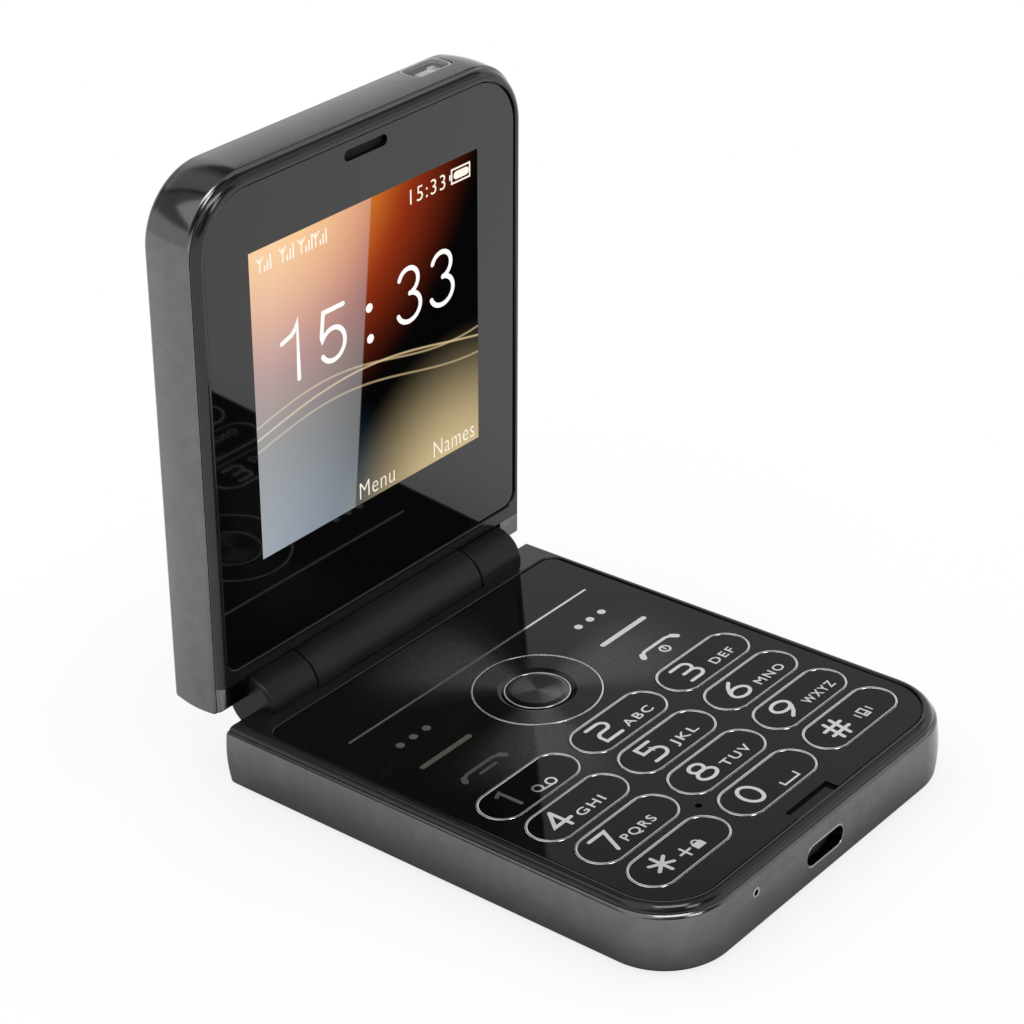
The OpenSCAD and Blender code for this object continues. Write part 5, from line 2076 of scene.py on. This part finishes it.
@dataclass
class ScreenCase:
    """The screen half's metal band, black rim, hinge end, outer cover and torch."""

    case: Case
    hinge: Hinge
    palette: Palette
    band_top: float = 9.25 * MM
    rim_top: float = 10.5 * MM
    glass_bot: float = 9.3 * MM
    ledge: float = 0.8 * MM
    bezel_end: float = 38.3 * MM
    torch_x: float = 20.6 * MM
    torch_z: float = 3.75 * MM
    torch_w: float = 8.6 * MM
    torch_h: float = 4.6 * MM

    def __post_init__(self) -> None:
        """Keeps the screen half's place."""
        self.place = self.hinge.lid_matrix()

    def build(self) -> None:
        """Builds every piece of the screen half's case."""
        self.band()
        self.rim()
        self.hinge_end()
        self.back_cover()
        self.torch()
        self.barrel()

    def torch_outline(self, grow: float) -> Ring:
        """The torch window's outline, widened by an amount, in the plane."""
        w, h = self.torch_w / 2 + grow, self.torch_h / 2 + grow
        return round_outline(w, -h, h, 1.2 * MM, 1.2 * MM)

    def band(self) -> None:
        """The plated band with the torch window and the hinge cut-out."""
        hinge = self.hinge
        band = new_object("lid_band", case_band(self.case, self.band_top))
        cut(band, hinge.cutter(hinge.clear_r, hinge.knuckle_room, hinge.lid_back))
        cut(band, moved(prism(self.torch_outline(0), -4 * MM, 4 * MM),
                        self.case.front(self.torch_x, self.torch_z)))
        place_mesh(band, self.place)
        piece(band, Body.LID, self.palette.plating, ["lid_frame"])

    def rim(self) -> None:
        """The glossy rim round the glass."""
        rings = rim_rings(self.case, self.rim_top, self.glass_bot, self.ledge)
        rim = new_object("screen_rim", skin(rings, closed=True))
        cut(rim, block((-0.1, self.bezel_end, -0.01), (0.1, 0.1, 0.05)))
        place_mesh(rim, self.place)
        piece(rim, Body.LID, self.palette.rim, ["lid_bezel"])

    def hinge_end(self) -> None:
        """The metal hinge end: two tips and the lining round the barrel."""
        case, hinge, room = self.case, self.hinge, self.hinge.knuckle_room
        low = self.rim_top - case.rim_height + case.rim_seam
        profile = [(case.wall, self.glass_bot - 3.5 * MM), (case.wall, low)]
        profile += lip_profile(case, self.rim_top, 10)
        tips = new_object("lid_hinge_tips", skin(
            [lifted(case.outline(x), z) for x, z in profile]))
        y0 = self.bezel_end + 0.05 * MM
        boxes = [block((low_x, y0, 0), (high_x, 0.06, 0.02))
                 for low_x, high_x in ((room, 0.05), (-0.05, -room))]
        cut(tips, joined(boxes), "INTERSECT")
        cut(tips, hinge.cutter(hinge.clear_r, room, hinge.lid_back))
        place_mesh(tips, self.place)
        piece(tips, Body.LID, self.palette.plating, ["lid_hinge_cover"],
              edge=0.12 * MM)
        lining = hinge.lining("lid_hinge_lining", 183, 74, 20, room, hinge.lid_back)
        piece(place_mesh(lining, self.place), Body.LID, self.palette.rim)

    def back_cover(self) -> None:
        """The plain textured outer cover."""
        cover = place_mesh(self.case.cover_sheet("lid_cover"), self.place)
        piece(cover, Body.LID, self.palette.cover, ["lid_back_cover"])

    def torch(self) -> None:
        """The torch: milky lens in a light frame, dark reflector and lamp."""
        place = self.place @ self.case.front(self.torch_x, self.torch_z)
        lens = new_object("torch_window", prism(
            self.torch_outline(-0.45 * MM), -0.8 * MM, -0.1 * MM, 0.15 * MM, True))
        piece(place_mesh(lens, place), Body.LID, self.palette.clear,
              ["torch_lens"])
        grow = (-0.06, -0.06, -0.14, -0.36, -0.44, -0.44)
        rise = (-0.8, -0.2, -0.12, -0.12, -0.2, -0.8)
        frame_ring = skin([lifted(self.torch_outline(g * MM), z * MM)
                           for g, z in zip(grow, rise)], closed=True)
        piece(place_mesh(new_object("torch_frame", frame_ring), place), Body.LID,
              self.palette.frame)
        floor = -3.2 * MM
        outer, inner = self.torch_outline(0.5 * MM), self.torch_outline(-0.5 * MM)
        cup = skin([lifted(outer, floor), lifted(outer, -2.1 * MM), lifted(inner, -2.1 * MM),
                    lifted(shrink(inner, 0.7 * MM), floor + 0.3 * MM)])
        reflector = place_mesh(new_object("torch_reflector", cup), place)
        piece(reflector, Body.LID, self.palette.plastic)
        lamp = skin([circle(r * MM, floor + z * MM, 24) for r, z in (
            (0.7, 0.3), (0.7, 0.55), (0.6, 0.75), (0.02, 0.8))])
        lamp_piece = place_mesh(new_object("torch_lamp", lamp), place)
        piece(lamp_piece, Body.LID, self.palette.lamp, ["torch_led"])
        base = joined([
            rounded_block((-1.6 * MM, -0.8 * MM, floor), (3.1 * MM, 0.7 * MM, -1.0 * MM),
                          0.12 * MM),
            rounded_block((1.6 * MM, -1.4 * MM, floor), (3.1 * MM, 1.4 * MM, -1.0 * MM),
                          0.12 * MM)])
        piece(place_mesh(new_object("torch_lamp_base", base), place), Body.LID,
              self.palette.guide)

    def barrel(self) -> None:
        """The middle barrel, which turns with the screen half."""
        edge, half, r = 0.12 * MM, self.hinge.barrel_half, self.hinge.barrel_r
        barrel = turned([(-half, r - edge), (edge - half, r), (half - edge, r), (half, r - edge)])
        moved(barrel, self.hinge.axis(self.hinge.z))
        piece(new_object("barrel_middle", barrel), Body.LID, self.palette.barrel,
              ["hinge_barrel"])


@dataclass
class Screen:
    """The screen glass, the lit window, its marks and the earpiece."""

    case: Case
    hinge: Hinge
    palette: Palette
    top: float = 10.2 * MM
    bottom: float = 9.3 * MM
    half_w: float = 25.0 * MM
    y0: float = -30.5 * MM
    y1: float = 19.9 * MM
    slot_y: float = -38.65 * MM
    slot_l: float = 9.3 * MM
    slot_w: float = 1.8 * MM

    def __post_init__(self) -> None:
        """Keeps the screen half's place."""
        self.place = self.hinge.lid_matrix()
        low = Vector((0, self.y1, self.top))
        self.flat = self.place @ Matrix.Translation(low) @ Matrix.Diagonal((1, -1, 1, 1))

    def build(self) -> None:
        """Builds the glass, the window, the marks and the earpiece."""
        self.glass()
        self.window()
        self.clock()
        self.status()
        self.earpiece()

    def glass(self) -> None:
        """The black-backed glass with its window and earpiece slot."""
        glass = new_object("glass_sheet", prism(
            self.case.panel_outline(-self.case.glass_in), self.bottom, self.top,
            0.12 * MM, False))
        low, high = self.bottom - 1 * MM, self.top + 1 * MM
        slot = moved(prism(pill_outline(self.slot_l, self.slot_w, 20), low, high),
                     Matrix.Translation((0, self.slot_y, 0)))
        opening = block((-self.half_w, self.y0, low), (self.half_w, self.y1, high))
        cut(glass, joined([slot, opening]))
        place_mesh(glass, self.place)
        piece(glass, Body.LID, self.palette.glass, ["lid_glass"])

    def window(self) -> None:
        """The lit window, flush with the glass, with a map for its picture."""
        gap = 0.02 * MM
        window = new_object("screen_window", block(
            (gap - self.half_w, self.y0 + gap, self.bottom),
            (self.half_w - gap, self.y1 - gap, self.top)))
        layer = window.data.uv_layers.new(name="screen")
        width, height = 2 * self.half_w, self.y1 - self.y0
        for loop in window.data.loops:
            co = window.data.vertices[loop.vertex_index].co
            layer.data[loop.index].uv = ((co.x + self.half_w) / width, (self.y1 - co.y) / height)
        place_mesh(window, self.place)
        piece(window, Body.LID, self.palette.screen, ["display_panel"], smooth=False)

    def clock(self) -> None:
        """The large clock."""
        marks = Marks(0.015)
        for digit, x, y, width, height in (
                ("1", -17.35, 31.55, 4.2, 9.9), ("5", -8.25, 31.3, 6.3, 9.4),
                ("3", 8.75, 31.55, 6.3, 9.9), ("3", 16.4, 31.55, 6.3, 9.9)):
            marks.figure(CLOCK_FIGURES[digit], (x, y), (width, height), 0.8)
        for x, y in ((-0.2, 32.7), (-0.1, 27.5)):
            marks.stroke(oval(x, y, 0.75, 0.75), 0)
        marks.finish("screen_clock", Body.LID, self.palette.glow, "screen", self.flat)

    def status(self) -> None:
        """The small clock, battery, signal bars and the two plain words over the soft keys."""
        marks = Marks(0.012)
        marks.text("15:33", 2.4, (13.45, 47.5), 8.05, -0.02, 1.15)
        left, right, low, high, middle = 18.95, 23.15, 46.5, 48.75, 47.62
        marks.stroke([(left, low), (right, low), (right, high), (left, high), (left, low)], 0.3)
        marks.stroke([(left + 1.1, middle), (right - 0.85, middle)], 1.3)
        marks.stroke([(18.55, 47.3), (18.55, 47.95)], 0.3)
        base = 46.75
        for x in (-22.8, -18.1, -14.2, -11.2):
            marks.stroke([(x, base), (x, base + 2.1)], 0.26)
            marks.stroke([(x - 0.7, base + 2.2), (x, base + 1.35), (x + 0.7, base + 2.2)], 0.24)
            for k in range(3):
                bar = x + 0.95 + 0.62 * k
                marks.stroke([(bar, base), (bar, base + 0.7 + 0.7 * k)], 0.3)
        for word, start, end in (("Menu", -3.4, 4.65), ("Names", 14.0, 23.9)):
            marks.text(word, 2.9, ((start + end) / 2, 2.2), end - start, -0.05, 1.1)
        marks.finish("screen_status", Body.LID, self.palette.faint_glow, "screen", self.flat)

    def earpiece(self) -> None:
        """The woven mesh under the earpiece slot."""
        wide, deep = self.slot_l + 1.3 * MM, self.slot_w + 1.3 * MM
        mesh = TREES["weave"].grow("earpiece_weave", width=wide, depth=deep, count=44, rows=13,
                                   wire=0.055 * MM, material=self.palette.mesh)
        spot = Matrix.Translation((0, self.slot_y, self.bottom - 0.15 * MM))
        place_mesh(mesh, self.place @ spot)
        piece(mesh, Body.LID, None, ["earpiece_mesh"])


# inner pieces


@dataclass
class InnerPieces:
    """The construction's own pieces inside the case, dressed as they are."""

    palette: Palette
    dresses: dict[str, tuple[str, ...]] = field(default_factory=lambda: {
        "plastic": ("base_chassis", "charging_port_tongue", "loudspeaker", "nav_rocker_pad",
                    "earpiece"),
        "wrap": ("battery",),
        "gold": ("battery_contacts", "microphones", "antenna", "display_flex"),
        "board": ("main_board", "lid_board"),
        "steel": ("shield_cans", "sim_holders", "charging_port_shell", "vibration_motor",
                  "base_screws", "dome_sheet", "hinge_cam_housing", "hinge_pin",
                  "lid_midframe", "lid_magnet", "lid_screws", "hinge_cam_follower",
                  "hinge_spring"),
        "rubber": ("keymat",),
        "guide": ("backlight_unit",),
    })

    def build(self) -> None:
        """Gives each inner piece its finish."""
        for finish, nodes in self.dresses.items():
            for node in nodes:
                target = frame["nodes"][node]
                target.data.materials.clear()
                target.data.materials.append(getattr(self.palette, finish))
                LOG.info("%s: dressed in %s", node, finish)


# studio


@dataclass
class Studio:
    """The white floor and surround, soft lamps and the camera."""

    camera_at: Vector = field(default_factory=lambda: Vector((-276.10, -225.68, 237.18)) * MM)
    ahead: Vector = field(default_factory=lambda: Vector((0.66486, 0.57842, -0.47264)))
    up: Vector = field(default_factory=lambda: Vector((0.38651, 0.27505, 0.88032)))
    lens: float = 97.68
    sensor: float = 36.0
    room_light: float = 0.45
    ceiling_tones: tuple[tuple[float, float], ...] = (
        (-0.30, 0.30), (-0.25, 0.22), (-0.22, 0.04), (-0.19, 0.04), (-0.15, 0.5), (0.2, 0.5),
        (0.45, 0.12))

    def build(self) -> None:
        """Builds the studio."""
        self.camera()
        self.world()
        self.floor()
        self.lamps()
        bpy.context.scene.view_settings.view_transform = "Standard"

    def camera(self) -> None:
        """The camera at the photograph's place and angle."""
        data = bpy.data.cameras.new("camera")
        data.lens, data.sensor_width, data.sensor_fit = self.lens, self.sensor, "HORIZONTAL"
        data.clip_start, data.clip_end = 0.01, 20
        made = bpy.data.objects.new("camera", data)
        right = self.ahead.cross(self.up).normalized()
        up = right.cross(self.ahead).normalized()
        turn = Matrix((right, up, -self.ahead.normalized())).transposed()
        made.matrix_world = Matrix.Translation(self.camera_at) @ turn.to_4x4()
        bpy.context.scene.collection.objects.link(made)
        bpy.context.scene.camera = made

    def world(self) -> None:
        """A white surround under a darker ceiling, which lights the phone at a plain level."""
        world = bpy.data.worlds.new("surround")
        world.use_nodes = True
        bpy.context.scene.world = world
        pen = Pen(world.node_tree)
        path = pen.node("ShaderNodeLightPath")
        way = pen.node("ShaderNodeSeparateXYZ",
                       {0: pen.node("ShaderNodeTexCoord").outputs["Generated"]})
        x, y, z = way.outputs
        front = pen.times(pen.math("MINIMUM", y, 0.0), -0.25)
        start = pen.span(x, -0.35, -0.1, 0.30, 0.56)
        above = pen.less(pen.plus(z, front), start)
        ceiling = pen.span(above, 0.0, 0.08, kind="SMOOTHSTEP")
        (first, low), *middle, (last, high) = self.ceiling_tones
        tone = pen.node("ShaderNodeValToRGB", {0: pen.span(x, first, last)})
        stops = tone.color_ramp.elements
        stops[0].color, stops[1].color = (low, low, low, 1), (high, high, high, 1)
        for place, level in middle:
            stops.new((place - first) / (last - first)).color = (level, level, level, 1)
        dim = pen.times(tone, pen.span(y, -0.8, -0.5, 0.05, 1.0))
        gloss = pen.plus(pen.less(1.0, ceiling),
                         pen.times(ceiling, dim))
        seen = pen.math("MAXIMUM", path.outputs["Is Camera Ray"],
                        path.outputs["Is Transmission Ray"])
        plain = pen.span(seen, 0.0, 1.0, self.room_light, 1.0)
        mirrored = pen.times(path.outputs["Is Glossy Ray"],
                            pen.less(gloss, plain))
        back = world.node_tree.nodes["Background"]
        back.inputs[0].default_value = (1, 1, 1, 1)
        pen.tree.links.new(pen.plus(plain, mirrored), back.inputs[1])

    def floor(self) -> None:
        """A white floor with a painted soft shadow, darkened by ambient occlusion round the phone.
        """
        bm = bmesh.new()
        bmesh.ops.create_grid(bm, x_segments=1, y_segments=1, size=3.0)
        floor = new_object("floor", bm)
        material = bpy.data.materials.new("floor_white")
        material.use_nodes = True
        pen = Pen(material.node_tree)
        nodes = material.node_tree.nodes
        shader, out = nodes["Principled BSDF"], nodes["Material Output"]
        shader.inputs["Base Color"].default_value = (0.82, 0.82, 0.82, 1)
        shader.inputs["Roughness"].default_value = 0.9
        shader.inputs["Specular IOR Level"].default_value = 0.0
        path = pen.node("ShaderNodeLightPath")
        # Painted shadow: camera and gloss rays see white emission darkened by ambient occlusion,
        # not the lamps' own shadow.
        open_sky = pen.node("ShaderNodeAmbientOcclusion", {"Distance": 0.07}).outputs["AO"]
        seen = pen.less(1.0, pen.times(pen.less(1.0, open_sky), 0.2))
        shade = pen.times(pen.math("POWER", open_sky, 2.2), 1.36)
        shown = pen.math("MAXIMUM", path.outputs["Is Camera Ray"],
                         path.outputs["Is Transmission Ray"])
        level = pen.plus(pen.times(shown, seen),
                         pen.times(path.outputs["Is Glossy Ray"], shade))
        white = pen.node("ShaderNodeEmission", {0: (1, 1, 1, 1), 1: level})
        share = pen.math("MAXIMUM", shown, path.outputs["Is Glossy Ray"])
        lit = pen.node("ShaderNodeMixShader", {0: share, 1: shader,
                                               2: white})
        clear = pen.node("ShaderNodeBsdfTransparent")
        under = pen.node("ShaderNodeNewGeometry").outputs["Backfacing"]
        both = pen.node("ShaderNodeMixShader", {0: under, 1: lit,
                                                2: clear})
        pen.tree.links.new(both.outputs[0], out.inputs[0])
        floor.data.materials.append(material)

    def lamps(self) -> None:
        """Soft lamps over the left, the front and the right."""
        for name, at, size, power in (
                ("left_lamp", (-0.80, 0.12, 0.94), (1.1, 1.1), 4.0),
                ("over_lamp", (-0.27, -0.36, 0.90), (0.6, 0.28), 4.0),
                ("front_lamp", (-0.12, -0.86, 0.65), (0.3, 0.3), 1.8),
                ("fill_lamp", (0.8, -0.6, 0.9), (0.9, 0.9), 1.6)):
            data = bpy.data.lights.new(name, "AREA")
            data.shape, data.energy = "RECTANGLE", power
            data.size, data.size_y = size
            lamp = bpy.data.objects.new(name, data)
            spot = Vector(at)
            ahead = -spot.normalized()
            along = Vector((0.74, -0.67, 0.0))
            along = (along - ahead * along.dot(ahead)).normalized()
            turn = Matrix((along, (-ahead).cross(along), -ahead)).transposed()
            lamp.matrix_world = Matrix.Translation(spot) @ turn.to_4x4()
            bpy.context.scene.collection.objects.link(lamp)


def main() -> None:
    """Builds the studio and then the phone, one sub-assembly after another."""
    logging.basicConfig(level=logging.INFO, format="%(name)s: %(message)s")
    case, hinge = read_case(), read_hinge()
    Studio().build()
    palette = Palette()
    assemblies = (
        KeypadCase(case, hinge, palette), Keypad(case, palette),
        ScreenCase(case, hinge, palette), Screen(case, hinge, palette),
        InnerPieces(palette))
    for assembly in assemblies:
        LOG.info("building %s", type(assembly).__name__)
        assembly.build()


if __name__ == "__main__":
    main()
